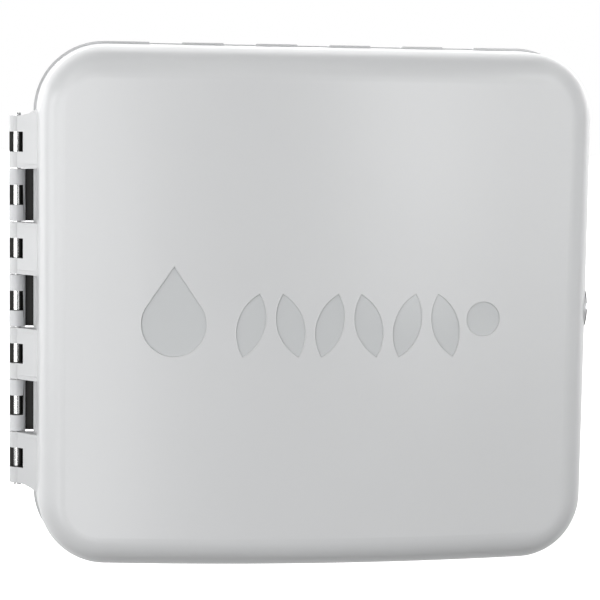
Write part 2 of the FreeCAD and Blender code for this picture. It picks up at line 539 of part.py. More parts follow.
def make_panel_frame():
    """A shallow tray that hangs on the case's two lugs and carries the face pack in its opening."""
    tray = plate(PANEL_W, PANEL_H, PANEL_R, PANEL_FRONT_Y, PANEL_BACK_Y)
    rim = [e for e in tray.Edges if all(abs(v.Point.y - PANEL_FRONT_Y) < 0.01 for v in e.Vertexes)]
    tray = tray.makeChamfer(1.2, rim)
    hollow = plate(PANEL_W - 2 * PANEL_WALL, PANEL_H - 2 * PANEL_WALL, PANEL_R - PANEL_WALL,
                   PANEL_FRONT_Y + PANEL_WALL, PANEL_BACK_Y + 1)
    opening = plate(PACK_W + 0.8, PACK_H + 0.8, PACK_R + 0.4, -90, -50, 0, PACK_Z)
    lug_gaps = [block(-112, -101.5, -90, -50, t - LUG_TALL - 2.6, t + 0.8) for t in LUG_TOPS]
    lock_gap = block(103.5, 112, -90, -50, -15, 27)
    pull = rod(11, (92, -90, -76), (92, PANEL_FRONT_Y + 1.2, -76))
    vents = [block(-33 + 12 * i, -29 + 12 * i, -90, -70, -88, -72) for i in range(6)]
    knuckles = []
    for t in LUG_TOPS:
        foot = t + 0.3
        axis = (PANEL_AXIS_X, PANEL_AXIS_Y)
        knuckles.append(rod(2.5, (*axis, foot + 0.4), (*axis, foot + 9)))
        knuckles.append(rod(2.0, (*axis, t - LUG_TALL - 1.2), (*axis, foot + 1)))
        knuckles.append(block(PANEL_AXIS_X, PANEL_AXIS_X + 8, PANEL_FRONT_Y + 0.4, PANEL_FRONT_Y + 4.5,
                              foot + 0.5, foot + 9))
    frame = cut(tray, hollow, opening, lock_gap, pull, *vents, *lug_gaps)
    save("panel_frame", fuse(frame, *knuckles))


def button_hole(x, z, grow):
    return rod(BUTTON_R + grow, (x, -95, z), (x, -50, z))


def make_face_pack():
    flange = plate(PACK_W + 5, PACK_H + 5, PACK_R + 2.5, PACK_FRONT_Y, PANEL_FRONT_Y - 0.1, 0, PACK_Z)
    edge = [e for e in flange.Edges if all(abs(v.Point.y - PACK_FRONT_Y) < 0.01 for v in e.Vertexes)]
    flange = flange.makeChamfer(1.2, edge)
    body = plate(PACK_W, PACK_H, PACK_R, PANEL_FRONT_Y - 0.5, PACK_BACK_Y, 0, PACK_Z)
    hollow = plate(PACK_W - 4.4, PACK_H - 4.4, PACK_R - 2.2, PACK_FRONT_Y + 2.4, -50, 0, PACK_Z)
    shell = fuse(flange, body).cut(hollow)
    screen = plate(SCREEN_W, SCREEN_H, 3, -95, -50, SCREEN_X, SCREEN_Z)
    well = rod(31.0, (DIAL_X, -95, DIAL_Z), (DIAL_X, PACK_FRONT_Y + 1.0, DIAL_Z))
    shaft = rod(4.2, (DIAL_X, -95, DIAL_Z), (DIAL_X, -50, DIAL_Z))
    slot = block(SWITCH_X - 2.6, SWITCH_X + 2.6 + SWITCH_TRAVEL, -95, -50, SWITCH_Z - 2.2, SWITCH_Z + 2.2)
    buttons = [button_hole(x, z, 0.25) for x, z in BUTTONS.values()]
    save("face_pack_housing", cut(shell, screen, well, shaft, slot, *buttons))


def make_screen():
    y = PACK_FRONT_Y + 0.4
    save("screen_window", plate(SCREEN_W - 0.4, SCREEN_H - 0.4, 2.8, y, y + 1.6, SCREEN_X, SCREEN_Z))
    save("screen_glass", block(SCREEN_X - 36, SCREEN_X + 36, y + 1.9, y + 4.7, SCREEN_Z - 18.5, SCREEN_Z + 18.5))


PCB_FRONT_Y, PCB_BACK_Y = -71.6, -70.0
PCB_HOLES = [(x, z) for x in (-86.0, 86.0) for z in (-48.0, 78.0)]


def make_pack_board():
    board = plate(186, 138, 3, PCB_FRONT_Y, PCB_BACK_Y, 0, PACK_Z)
    save("face_pack_board", board)
    switch = block(DIAL_X - 9, DIAL_X + 9, PCB_FRONT_Y - 6.5, PCB_FRONT_Y - 0.02, DIAL_Z - 9, DIAL_Z + 9)
    save("rotary_switch", switch.cut(rod(3.05, (DIAL_X, -85, DIAL_Z), (DIAL_X, -60, DIAL_Z))))
    save("tact_switches", *[block(x - 3, x + 3, PCB_FRONT_Y - 3.6, PCB_FRONT_Y - 0.02, z - 3, z + 3)
                            for x, z in BUTTONS.values()])
    slide = block(SWITCH_X - 6, SWITCH_X + 6 + SWITCH_TRAVEL, PCB_FRONT_Y - 5.0, PCB_FRONT_Y - 0.02,
                  SWITCH_Z - 3.5, SWITCH_Z + 3.5)
    save("slide_switch", slide)


def make_pack_back():
    """The rear cover, with a slot for the coin cell, the ribbon header and the reset button's hole."""
    cover = plate(PACK_W - 5.0, PACK_H - 5.0, PACK_R - 2.5, PACK_BACK_Y - 2.2, PACK_BACK_Y - 0.1, 0, PACK_Z)
    posts = [block(x - 3, x + 3, PCB_BACK_Y + 0.05, PACK_BACK_Y - 2.0, z - 3, z + 3) for x, z in PCB_HOLES]
    cell_slot = block(-32, -8, -75, -50, -52, -28)
    header = block(-78, -46, -75, -50, -44, -36)
    reset = rod(2.4, (RESET_X, -75, RESET_Z), (RESET_X, -50, RESET_Z))
    save("face_pack_back", cut(fuse(cover, *posts), cell_slot, header, reset))
    save("face_pack_screws", *[rod(2.6, (x, PACK_BACK_Y - 0.08, z), (x, PACK_BACK_Y + 1.5, z))
                               for x, z in PCB_HOLES])
    holder = block(-31.7, -8.3, PCB_BACK_Y + 0.02, -65.0, -51.7, -28.3)
    save("battery_holder", holder.cut(rod(10.15, (-20, -67.9, -40), (-20, -60, -40))))
    save("coin_battery", rod(10.0, (-20, -67.8, -40), (-20, -64.6, -40)))
    box = block(-77.5, -46.5, PCB_BACK_Y + 0.02, -61.0, -43.6, -36.4)
    save("pack_ribbon_header", box.cut(block(-76, -48, -67.5, -50, -42.4, -37.6)))


# ---- controls -----------------------------------------------------------------------------------------------
DIAL_R, DIAL_TALL = 26.0, 13.0
BUTTON_TRAVEL = 1.2


def make_dial():
    """A skirted knob with a finger bar across it, on its own shaft."""
    back = PACK_FRONT_Y + 0.6
    at = (DIAL_X, DIAL_Z)
    skirt = rod(DIAL_R, (at[0], back - 5.0, at[1]), (at[0], back, at[1]))
    crown = plate(11.0, 2 * DIAL_R - 5.0, 5.4, back - DIAL_TALL, back - 4.8, *at)
    top = [e for e in crown.Edges if all(abs(v.Point.y - back + DIAL_TALL) < 0.01 for v in e.Vertexes)]
    crown = crown.makeChamfer(1.5, top)
    knob = fuse(skirt, crown)
    mark = block(at[0] - 0.6, at[0] + 0.6, back - DIAL_TALL - 1, back - DIAL_TALL + 0.5, at[1] + 9, at[1] + 21)
    bore = rod(3.02, (at[0], back + 1, at[1]), (at[0], back - 9, at[1]))
    save("dial_knob", cut(knob, mark, bore))
    shaft = rod(3.0, (at[0], back - 8.9, at[1]), (at[0], PCB_FRONT_Y - 0.4, at[1]))
    save("dial_shaft", shaft)


def make_buttons():
    """Round caps, each with a square flange behind the housing that keeps it in and stops it turning."""
    proud = 2.0
    for name, (x, z) in BUTTONS.items():
        front = PACK_FRONT_Y - proud
        cap = rod(BUTTON_R, (x, front, z), (x, PACK_FRONT_Y + 3.2, z))
        cap = cap.makeChamfer(0.6, [e for e in cap.Edges if abs(e.CenterOfMass.y - front) < 0.01])
        half = BUTTON_R + 1.2
        flange = block(x - half, x + half, PACK_FRONT_Y + 2.6, PACK_FRONT_Y + 3.8, z - half, z + half)
        stem = block(x - 1.7, x + 1.7, PACK_FRONT_Y + 3.5, PCB_FRONT_Y - 3.6 - BUTTON_TRAVEL - 0.2,
                     z - 1.7, z + 1.7)
        save(name, fuse(cap, flange, stem))


def make_small_controls():
    nib = block(SWITCH_X - 2.4, SWITCH_X + 2.4, PACK_FRONT_Y - 1.6, PCB_FRONT_Y - 5.2, SWITCH_Z - 1.9, SWITCH_Z + 1.9)
    save("bypass_switch_knob", nib)
    stem = rod(2.2, (RESET_X, PACK_BACK_Y + 0.6, RESET_Z), (RESET_X, PCB_BACK_Y + 3.0, RESET_Z))
    save("reset_button", stem)
    save("reset_switch", block(RESET_X - 3, RESET_X + 3, PCB_BACK_Y + 0.02, PCB_BACK_Y + 1.8, RESET_Z - 3, RESET_Z + 3))


# ---- the whole controller -----------------------------------------------------------------------------------
def main():
    os.makedirs(OUT, exist_ok=True)
    make_lid()
    make_hinge_pin()
    make_lock()
    make_case()
    make_conduit_plug()
    make_mains()
    make_transformer()
    make_terminal_board()
    make_dock()
    make_module_lock()
    for i in range(MODULES):
        make_module(i)
    make_panel_frame()
    make_face_pack()
    make_screen()
    make_pack_board()
    make_pack_back()
    make_dial()
    make_buttons()
    make_small_controls()


main()
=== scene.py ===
"""Looks for the outdoor irrigation controller: case, electrics, swing panel with face pack, lid, lock, stage.

Lengths are metres in the row frame: X to the right seen from the front, Z up, the wall is the plane Y = 0.
"""
import math
import bpy
from mathutils import Matrix, Vector


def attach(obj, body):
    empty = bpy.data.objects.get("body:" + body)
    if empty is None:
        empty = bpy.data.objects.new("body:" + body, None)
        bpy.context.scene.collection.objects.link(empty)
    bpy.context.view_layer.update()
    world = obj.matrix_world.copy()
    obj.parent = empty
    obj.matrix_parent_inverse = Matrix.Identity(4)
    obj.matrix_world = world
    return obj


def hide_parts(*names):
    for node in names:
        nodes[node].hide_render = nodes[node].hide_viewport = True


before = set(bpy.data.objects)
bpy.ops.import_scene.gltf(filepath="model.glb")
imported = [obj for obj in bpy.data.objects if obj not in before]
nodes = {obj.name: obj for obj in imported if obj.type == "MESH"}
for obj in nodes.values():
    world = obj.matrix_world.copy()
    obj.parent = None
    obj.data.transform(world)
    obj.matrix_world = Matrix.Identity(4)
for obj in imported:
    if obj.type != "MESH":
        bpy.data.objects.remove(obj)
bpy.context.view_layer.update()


# ---- the case ----------------------------------------------------------------------------------------------
# The back box: ABS moulded in one piece with its flange, posts, mains fence and hinge knuckles. The mould's
# eroded skin leaves a fine even grain, and the resin's flow leaves faint clouds.
MM = 0.001
MIX_A, MIX_B, MIXED = 6, 7, 2    # a Mix node's two colour inputs, and its colour output


def linear(colour):
    """An sRGB hex colour as linear RGBA."""
    values = [int(colour[i:i + 2], 16) / 255 for i in (0, 2, 4)]
    return [v / 12.92 if v <= 0.04045 else ((v + 0.055) / 1.055) ** 2.4 for v in values] + [1.0]


def plug_in(tree, node, sockets):
    """Fills a node's input sockets with values, or with links from other nodes."""
    for key, value in sockets.items():
        if isinstance(value, bpy.types.NodeSocket):
            tree.links.new(value, node.inputs[key])
        else:
            node.inputs[key].default_value = value


def add(tree, kind, sockets=None, **settings):
    """Adds a shader node with its own settings and its input sockets."""
    made = tree.nodes.new("ShaderNode" + kind)
    for key, value in settings.items():
        setattr(made, key, value)
    plug_in(tree, made, sockets or {})
    return made


def new_material(name):
    """A material with one Principled shader, and the Object coordinates that its patterns are laid out in."""
    material = bpy.data.materials.new(name)
    material.use_nodes = True
    tree = material.node_tree
    place = add(tree, "TexCoord").outputs["Object"]
    return material, tree, tree.nodes["Principled BSDF"], place


def shade(colour, factor):
    """A hex colour made lighter or darker, as linear RGBA."""
    return [min(1.0, c * factor) for c in linear(colour)[:3]] + [1.0]


def moulded(name, colour, rough=0.42, grain=0.45, relief=0.012, clouds=0.03):
    """Moulded plastic: faint clouds in the pigment, the mould's grain (mm), and roughness that wanders.

    A real eroded skin is finer, about 0.1 mm, so the grain is drawn as coarse as it needs to show.
    """
    material, tree, shader, place = new_material(name)
    flow = add(tree, "TexNoise", {"Vector": place, "Scale": 1 / (45 * MM), "Detail": 4.0, "Roughness": 0.55})
    tone = add(tree, "Mix", {"Factor": flow.outputs["Fac"], MIX_A: shade(colour, 1 - clouds),
                             MIX_B: shade(colour, 1 + clouds)}, data_type="RGBA")
    skin = add(tree, "TexNoise", {"Vector": place, "Scale": 1 / (grain * MM), "Detail": 2.0,
                                  "Roughness": 0.6})
    wander = add(tree, "MapRange", {"Value": flow.outputs["Fac"], "To Min": rough - 0.04,
                                    "To Max": rough + 0.04})
    bump = add(tree, "Bump", {"Height": skin.outputs["Fac"], "Strength": 1.0, "Distance": relief * MM})
    plug_in(tree, shader, {"Base Color": tone.outputs[MIXED], "Roughness": wander.outputs["Result"],
                           "Normal": bump.outputs["Normal"], "IOR": 1.53})
    return material


def dress(name, material):
    """Gives a CAD node its finish."""
    mesh = nodes[name].data
    mesh.materials.clear()
    mesh.materials.append(material)


dress("case", moulded("case ABS, eroded mould skin", "C9CACC", rough=0.45, grain=0.6, relief=0.02))


# ---- hinge pin ---------------------------------------------------------------------------------------------
# A drawn steel rod through all seven knuckles, on which the lid turns. It is bright where the windows show it,
# with fine marks along its length.
def bright_metal(name, colour, rough=0.25, along=(1, 1, 1), streaks=0.08, pitch=0.3):
    """Plain metal: streaks in roughness and tone, stretched along the axis it was drawn or rolled on."""
    material, tree, shader, place = new_material(name)
    stretch = add(tree, "Mapping", {"Vector": place, "Scale": along})
    lines = add(tree, "TexNoise", {"Vector": stretch.outputs["Vector"], "Scale": 1 / (pitch * MM),
                                   "Detail": 3.0})
    tone = add(tree, "Mix", {"Factor": lines.outputs["Fac"], MIX_A: shade(colour, 1 - streaks),
                             MIX_B: shade(colour, 1 + streaks)}, data_type="RGBA")
    wander = add(tree, "MapRange", {"Value": lines.outputs["Fac"], "To Min": rough - 0.08,
                                    "To Max": rough + 0.08})
    bump = add(tree, "Bump", {"Height": lines.outputs["Fac"], "Strength": 1.0, "Distance": 0.004 * MM})
    plug_in(tree, shader, {"Base Color": tone.outputs[MIXED], "Metallic": 1.0,
                           "Roughness": wander.outputs["Result"], "Normal": bump.outputs["Normal"]})
    return material


dress("hinge_pin", bright_metal("drawn stainless rod", "D6D7D6", rough=0.2, along=(1, 1, 0.03)))


# ---- plug in the spare wiring hole -------------------------------------------------------------------------
# A snap-in nylon cap that keeps rain out of the wiring hole nobody uses. It is a little yellower and glossier
# than the case around it.
dress("conduit_plug", moulded("grey nylon cap", "BFC0BC", rough=0.33, grain=0.9, relief=0.01))


# ---- transformer -------------------------------------------------------------------------------------------
# A stack of varnished silicon-steel stampings with the winding under amber tape on its glass-filled nylon
# bobbin. A zinc-plated strap folds over the stack, and two screws hold its feet to the case's posts.
def striped_steel(name, colour, gap_colour, pitch, axis):
    """Stacked stampings: one line per sheet across the stack, and varnish that varies between sheets."""
    material, tree, shader, place = new_material(name)
    along = add(tree, "SeparateXYZ", {"Vector": place}).outputs[axis]
    sheet = add(tree, "Math", {0: along, 1: 1 / (pitch * MM)}, operation="MULTIPLY").outputs[0]
    phase = add(tree, "Math", {0: sheet}, operation="FRACT").outputs[0]
    seam = add(tree, "MapRange", {"Value": phase, "From Min": 0.78, "From Max": 0.9}).outputs["Result"]
    number = add(tree, "Math", {0: sheet}, operation="FLOOR").outputs[0]
    own = add(tree, "TexWhiteNoise", {"W": number}, noise_dimensions="1D").outputs["Value"]
    varnish = add(tree, "Mix", {"Factor": own, MIX_A: shade(colour, 0.8), MIX_B: shade(colour, 1.2)},
                  data_type="RGBA")
    tone = add(tree, "Mix", {"Factor": seam, MIX_A: varnish.outputs[MIXED], MIX_B: linear(gap_colour)},
               data_type="RGBA")
    bump = add(tree, "Bump", {"Height": seam, "Strength": 1.0, "Distance": 0.08 * MM}, invert=True)
    plug_in(tree, shader, {"Base Color": tone.outputs[MIXED], "Metallic": 0.75, "Roughness": 0.42,
                           "Normal": bump.outputs["Normal"]})
    return material


dress("transformer_core", striped_steel("varnished stampings", "6E6A64", "2A2724", pitch=0.5, axis="Y"))
dress("transformer_bobbin", moulded("glass-filled nylon", "23241F", rough=0.5, grain=0.5, relief=0.03))


def taped(name):
    """Polyester tape wound over the coil: overlapping turns with a shiny face and a step at each edge."""
    material, tree, shader, place = new_material(name)
    along = add(tree, "SeparateXYZ", {"Vector": place}).outputs["Z"]
    wobble = add(tree, "TexNoise", {"Vector": place, "Scale": 1 / (18 * MM), "Detail": 1.0}).outputs["Fac"]
    drift = add(tree, "Math", {0: wobble, 1: 0.4, 2: 0.0}, operation="MULTIPLY_ADD").outputs[0]
    turn = add(tree, "Math", {0: along, 1: 1 / (9 * MM), 2: drift}, operation="MULTIPLY_ADD").outputs[0]
    phase = add(tree, "Math", {0: turn}, operation="FRACT").outputs[0]
    edge = add(tree, "MapRange", {"Value": phase, "From Min": 0.0, "From Max": 0.06}).outputs["Result"]
    tone = add(tree, "Mix", {"Factor": edge, MIX_A: linear("7A4A0A"), MIX_B: linear("C98A1E")},
               data_type="RGBA")
    crease = add(tree, "TexNoise", {"Vector": place, "Scale": 1 / (3 * MM), "Detail": 3.0}).outputs["Fac"]
    height = add(tree, "Math", {0: crease, 1: 0.3, 2: edge}, operation="MULTIPLY_ADD").outputs[0]
    bump = add(tree, "Bump", {"Height": height, "Strength": 1.0, "Distance": 0.1 * MM})
    plug_in(tree, shader, {"Base Color": tone.outputs[MIXED], "Roughness": 0.22, "IOR": 1.57,
                           "Coat Weight": 0.4, "Coat Roughness": 0.08, "Normal": bump.outputs["Normal"]})
    return material


dress("transformer_winding", taped("amber polyester tape"))
zinc_strap = bright_metal("zinc-plated strip", "B9BCC0", rough=0.36, along=(0.15, 1, 1), streaks=0.14,
                          pitch=0.8)
dress("transformer_strap", zinc_strap)


# ---- screws ------------------------------------------------------------------------------------------------
# Zinc-plated pan heads with a cross recess, all of one pattern: a forged head with a rounded rim, and two
# tapering flutes that cross in its top. One is modelled and copied to every place, each with its own mesh.
def alone(obj):
    """Selects one object and nothing else."""
    bpy.ops.object.select_all(action="DESELECT")
    obj.select_set(True)
    bpy.context.view_layer.objects.active = obj


def rod_along_y(name, radius, x, z, front, back, sides=32):
    """A cylinder from its front plane to its back plane, both given as Y (mm)."""
    bpy.ops.object.select_all(action="DESELECT")
    bpy.ops.mesh.primitive_cylinder_add(vertices=sides, radius=radius * MM, depth=(back - front) * MM,
                                        location=(x * MM, (front + back) / 2 * MM, z * MM),
                                        rotation=(math.pi / 2, 0, 0))
    made = bpy.context.object
    made.name = name
    bpy.ops.object.transform_apply(location=True, rotation=True, scale=True)
    return made


def slab(name, x0, x1, y0, y1, z0, z1):
    """A square-cornered block between its limits (mm)."""
    bpy.ops.object.select_all(action="DESELECT")
    bpy.ops.mesh.primitive_cube_add(
        size=1, location=((x0 + x1) / 2 * MM, (y0 + y1) / 2 * MM, (z0 + z1) / 2 * MM),
        scale=((x1 - x0) * MM, (y1 - y0) * MM, (z1 - z0) * MM))
    made = bpy.context.object
    made.name = name
    bpy.ops.object.transform_apply(location=True, rotation=True, scale=True)
    return made


def edit(obj, mode, test, *operations):
    """Runs edit-mode operators on the faces or edges that pass the test, which gets each middle in mm."""
    alone(obj)
    mesh = obj.data
    bpy.context.tool_settings.mesh_select_mode = (False, mode == "EDGE", mode == "FACE")
    for item in [*mesh.vertices, *mesh.edges, *mesh.polygons]:
        item.select = False
    if mode == "FACE":
        for face in mesh.polygons:
            face.select = test(face.center / MM, face.normal)
    else:
        for edge in mesh.edges:
            a, b = (mesh.vertices[i].co for i in edge.vertices)
            edge.select = test((a + b) / 2 / MM, (b - a).normalized())
    bpy.ops.object.mode_set(mode="EDIT")
    for operation, settings in operations:
        operation(**settings)
    bpy.ops.object.mode_set(mode="OBJECT")


def carve(obj, cutter, operation="DIFFERENCE"):
    """Cuts one piece with another, which is used up."""
    alone(obj)
    modifier = obj.modifiers.new("cut", "BOOLEAN")
    modifier.object = cutter
    modifier.operation = operation
    modifier.solver = "EXACT"
    bpy.ops.object.modifier_apply(modifier=modifier.name)
    bpy.data.objects.remove(cutter)


def smooth(obj, angle=35):
    """Smooth shading, broken at edges sharper than the angle."""
    alone(obj)
    bpy.ops.object.shade_smooth_by_angle(angle=math.radians(angle))


def round_edges(obj, width, segments=2, angle=40):
    """Breaks every sharp edge of a finished piece."""
    alone(obj)
    modifier = obj.modifiers.new("edges", "BEVEL")
    modifier.width = width * MM
    modifier.segments = segments
    modifier.limit_method = "ANGLE"
    modifier.angle_limit = math.radians(angle)
    bpy.ops.object.modifier_apply(modifier=modifier.name)
    smooth(obj)


def place_piece(obj, material, body, stands_for=()):
    """Gives a new piece its finish, its body, and the CAD nodes it takes the place of."""
    obj.data.materials.clear()
    obj.data.materials.append(material)
    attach(obj, body)
    if stands_for:
        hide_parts(*stands_for)


def copy_to(obj, name, shift, turn=0.0):
    """A copy with its own mesh, turned about Y through its own middle, then moved by shift (mm)."""
    made = obj.copy()
    made.data = obj.data.copy()
    made.name = name
    bpy.context.scene.collection.objects.link(made)
    middle = sum((v.co for v in made.data.vertices), Vector()) / len(made.data.vertices)
    cosine, sine = math.cos(turn), math.sin(turn)
    for v in made.data.vertices:
        d = v.co - middle
        turned = Vector((d.x * cosine + d.z * sine, d.y, -d.x * sine + d.z * cosine))
        v.co = middle + turned + Vector(shift) * MM
    return made


def pan_head(name, radius, x, z, seat, tall, towards=-1):
    """A head whose back lies in the plane Y = seat. It stands towards the front (-1) or the wall (1)."""
    top = seat + towards * tall
    head = rod_along_y(name, radius, x, z, min(seat, top), max(seat, top))
    edit(head, "EDGE", lambda c, d: abs(c.y - top) < 0.01,
         (bpy.ops.mesh.bevel, dict(offset=min(radius, tall) * 0.42 * MM, segments=4, affect="EDGES")))
    long, short = radius * 0.62, radius * 0.15
    for wide, thin in ((long, short), (short, long)):
        flute = slab("flute", x - wide, x + wide, top - tall * 0.6, top + tall * 0.6, z - thin, z + thin)
        edit(flute, "FACE", lambda c, n: n.y * towards < -0.9,
             (bpy.ops.transform.resize, dict(value=(0.45, 1, 0.45))))
        carve(head, flute)
    smooth(head)
    return head


zinc = bright_metal("zinc-plated screw", "C4C6C9", rough=0.3, streaks=0.1, pitch=0.6)


def screw_set(node, body, seat, radius, tall, places, towards=-1):
    """Heads at every place of one CAD node, which they stand for, each turned as it happened to stop."""
    x0, z0 = places[0]
    first = pan_head(node + "_head_1", radius, x0, z0, seat, tall, towards)
    heads = [first] + [copy_to(first, f"{node}_head_{i + 1}", (x - x0, 0, z - z0), turn=0.55 * i)
                       for i, (x, z) in enumerate(places) if i > 0]
    for head in heads:
        place_piece(head, zinc, body, [node])


screw_set("transformer_screws", "case", seat=-8.25, radius=3.4, tall=2.35,
          places=[(79.0, -45.5), (79.0, 11.5)])
screw_set("board_screws", "case", seat=-13.62, radius=2.8, tall=1.98,
          places=[(x, z) for x in (-99.5, 35.5) for z in (-16.5, 70.5)])


# ---- mains compartment -------------------------------------------------------------------------------------
# A black three-way terminal strip on the back wall, with slotted brass-plated clamp screws down in its wells,
# and a moulded cover held by one screw.
SLOT_WIDE, SLOT_DEEP = 0.64, 0.8


def slotted_screw(name, radius, x, z, front, back):
    """A clamp screw seen down a well: a low cylinder with a rounded rim and one slot across it."""
    screw = rod_along_y(name, radius, x, z, front, back, sides=24)
    edit(screw, "EDGE", lambda c, d: abs(c.y - front) < 0.01,
         (bpy.ops.mesh.bevel, dict(offset=0.3 * MM, segments=2, affect="EDGES")))
    carve(screw, slab("slot", x - radius - 1, x + radius + 1, front - 1, front + SLOT_DEEP,
                      z - SLOT_WIDE / 2, z + SLOT_WIDE / 2))
    smooth(screw)
    return screw


def screw_row(name, radius, places, front, back):
    """Clamp screws of one moulding on the case, at places in X and Z."""
    x0, z0 = places[0]
    first = slotted_screw(f"{name}_1", radius, x0, z0, front, back)
    row = [first] + [copy_to(first, f"{name}_{i + 1}", (x - x0, 0, z - z0), turn=0.9 * i)
                     for i, (x, z) in enumerate(places) if i > 0]
    for screw in row:
        place_piece(screw, brass, "case")


brass = bright_metal("nickelled brass clamp", "CDBB86", rough=0.28, streaks=0.1, pitch=0.5)
dress("mains_terminal_strip", moulded("black terminal moulding", "26272A", rough=0.4, grain=0.7))
screw_row("mains_clamp_screw", radius=2.3, places=[(69.5 + 11 * i, -67.0) for i in range(3)],
          front=-13.0, back=-9.6)
dress("junction_cover", moulded("grey compartment cover", "9FA2A5", rough=0.42, grain=0.6))
screw_set("junction_cover_screw", "case", seat=-48.22, radius=3.0, tall=1.55, places=[(56.0, -59.0)])


# ---- terminal board ----------------------------------------------------------------------------------------
# A glass-epoxy board on the case's posts. Its copper shows through the green mask as lighter lanes, dotted
# with tinned pads. Real lanes are about half as wide, and are drawn as coarse as they need to show.
def circuit_board(name, mask, copper, pitch):
    """Solder mask over copper: lanes on a square grid that turn by right angles, and round pads."""
    material, tree, shader, place = new_material(name)
    parts = add(tree, "SeparateXYZ", {"Vector": place}).outputs
    flat = add(tree, "CombineXYZ", {"X": parts["X"], "Y": parts["Z"]}).outputs["Vector"]
    per_metre = [1 / (pitch * MM)] * 3
    cell = add(tree, "VectorMath", {0: flat, 1: per_metre}, operation="MULTIPLY").outputs["Vector"]
    whole = add(tree, "VectorMath", {0: cell}, operation="FLOOR").outputs["Vector"]
    part_cell = add(tree, "VectorMath", {0: cell}, operation="FRACTION").outputs["Vector"]
    inside = add(tree, "SeparateXYZ", {"Vector": part_cell}).outputs
    region = add(tree, "TexVoronoi", {"Vector": flat, "Scale": 1 / (9 * MM)}, distance="CHEBYCHEV")
    sideways = add(tree, "Math", {0: region.outputs["Color"], 1: 0.5}, operation="GREATER_THAN").outputs[0]
    across = add(tree, "Mix", {"Factor": sideways, 2: inside["X"], 3: inside["Y"]},
                 data_type="FLOAT").outputs[0]
    off_middle = add(tree, "Math", {0: across, 1: 0.5}, operation="SUBTRACT").outputs[0]
    distance = add(tree, "Math", {0: off_middle}, operation="ABSOLUTE").outputs[0]
    lane = add(tree, "Math", {0: distance, 1: 0.17}, operation="LESS_THAN").outputs[0]
    lucky = add(tree, "TexWhiteNoise", {"Vector": whole}, noise_dimensions="2D").outputs["Value"]
    pad_here = add(tree, "Math", {0: lucky, 1: 0.9}, operation="GREATER_THAN").outputs[0]
    centred = add(tree, "CombineXYZ", {"X": inside["X"], "Y": inside["Y"]}).outputs["Vector"]
    reach = add(tree, "VectorMath", {0: centred, 1: [0.5, 0.5, 0.0]}, operation="DISTANCE").outputs["Value"]
    disc = add(tree, "Math", {0: reach, 1: 0.36}, operation="LESS_THAN").outputs[0]
    pad = add(tree, "Math", {0: disc, 1: pad_here}, operation="MULTIPLY").outputs[0]
    lanes = add(tree, "Mix", {"Factor": lane, MIX_A: linear(mask), MIX_B: linear(copper)}, data_type="RGBA")
    tone = add(tree, "Mix", {"Factor": pad, MIX_A: lanes.outputs[MIXED], MIX_B: linear("C9CBC9")},
               data_type="RGBA").outputs[MIXED]
    step = add(tree, "Math", {0: lane, 1: pad}, operation="MAXIMUM").outputs[0]
    bump = add(tree, "Bump", {"Height": step, "Strength": 1.0, "Distance": 0.03 * MM})
    plug_in(tree, shader, {"Base Color": tone, "Metallic": pad, "Roughness": 0.3, "IOR": 1.5,
                           "Normal": bump.outputs["Normal"]})
    return material


green_board = circuit_board("green solder mask over copper", "0E4A2A", "1E6B3E", pitch=1.6)
dress("terminal_board", green_board)
dress("field_terminal_strip", moulded("green terminal moulding", "2E7D4F", rough=0.38, grain=0.7))
screw_row("field_clamp_screw", radius=2.4, places=[(-89.5, -8.5 + 8 * (i + 0.5)) for i in range(9)],
          front=-25.6, back=-22.7)
header_black = moulded("black header nylon", "1C1D1F", rough=0.45, grain=0.6)
dress("board_ribbon_header", header_black)


# ---- module dock, station modules and locking slide --------------------------------------------------------
# The dock is a charcoal tray. Each module is a sealed dark grey housing with a fluted band and three clamp
# screws, and the yellow slide under them locks the row in.
dress("module_dock", moulded("charcoal dock", "3A3D41", rough=0.45, grain=0.6))
module_plastic = moulded("module housing", "54585D", rough=0.4, grain=0.55, relief=0.02)
MODULE_LEFT, MODULE_PITCH, MODULE_WIDE = -60.0, 32.5, 31.0
for number in range(3):
    dress(f"station_module_{number + 1}", module_plastic)
    left = MODULE_LEFT + MODULE_PITCH * number
    screw_row(f"module_{number + 1}_clamp_screw", radius=2.4,
              places=[(left + MODULE_WIDE * (k + 0.5) / 3, 2.5) for k in range(3)], front=-26.7, back=-23.8)
dress("module_lock_slide", moulded("yellow locking slide", "D9A520", rough=0.36, grain=0.7))


# ---- swing panel -------------------------------------------------------------------------------------------
# The inner tray, moulded in ABS in the light grey of the lid, with vents and a finger scoop. It hangs on two
# lift-off hinges and holds the face pack in its opening.
dress("panel_frame", moulded("light grey ABS panel", "B9BCC0", rough=0.44, grain=0.6, relief=0.02))


# ---- face pack ---------------------------------------------------------------------------------------------
# The control module in the panel's opening: a dark blue-grey housing whose front is printed, with the screen
# behind a clear hard-coated window, and the boards, switches and cell at the back.
dress("face_pack_housing", moulded("blue-grey ABS housing", "3C4A57", rough=0.4, grain=0.55, relief=0.02))
dress("face_pack_back", moulded("black rear cover", "2B2D30", rough=0.5, grain=0.6, relief=0.03))
screw_set("face_pack_screws", "swing_panel", seat=-62.08, radius=2.6, tall=1.4,
          places=[(x, z) for x in (-86.0, 86.0) for z in (-48.0, 78.0)], towards=1)
dress("face_pack_board", green_board)
for name in ("rotary_switch", "tact_switches", "reset_switch", "battery_holder", "pack_ribbon_header"):
    dress(name, header_black)
dress("slide_switch", zinc_strap)
dress("coin_battery", bright_metal("stamped steel cell", "C9C9C7", rough=0.24, streaks=0.05, pitch=1.5))


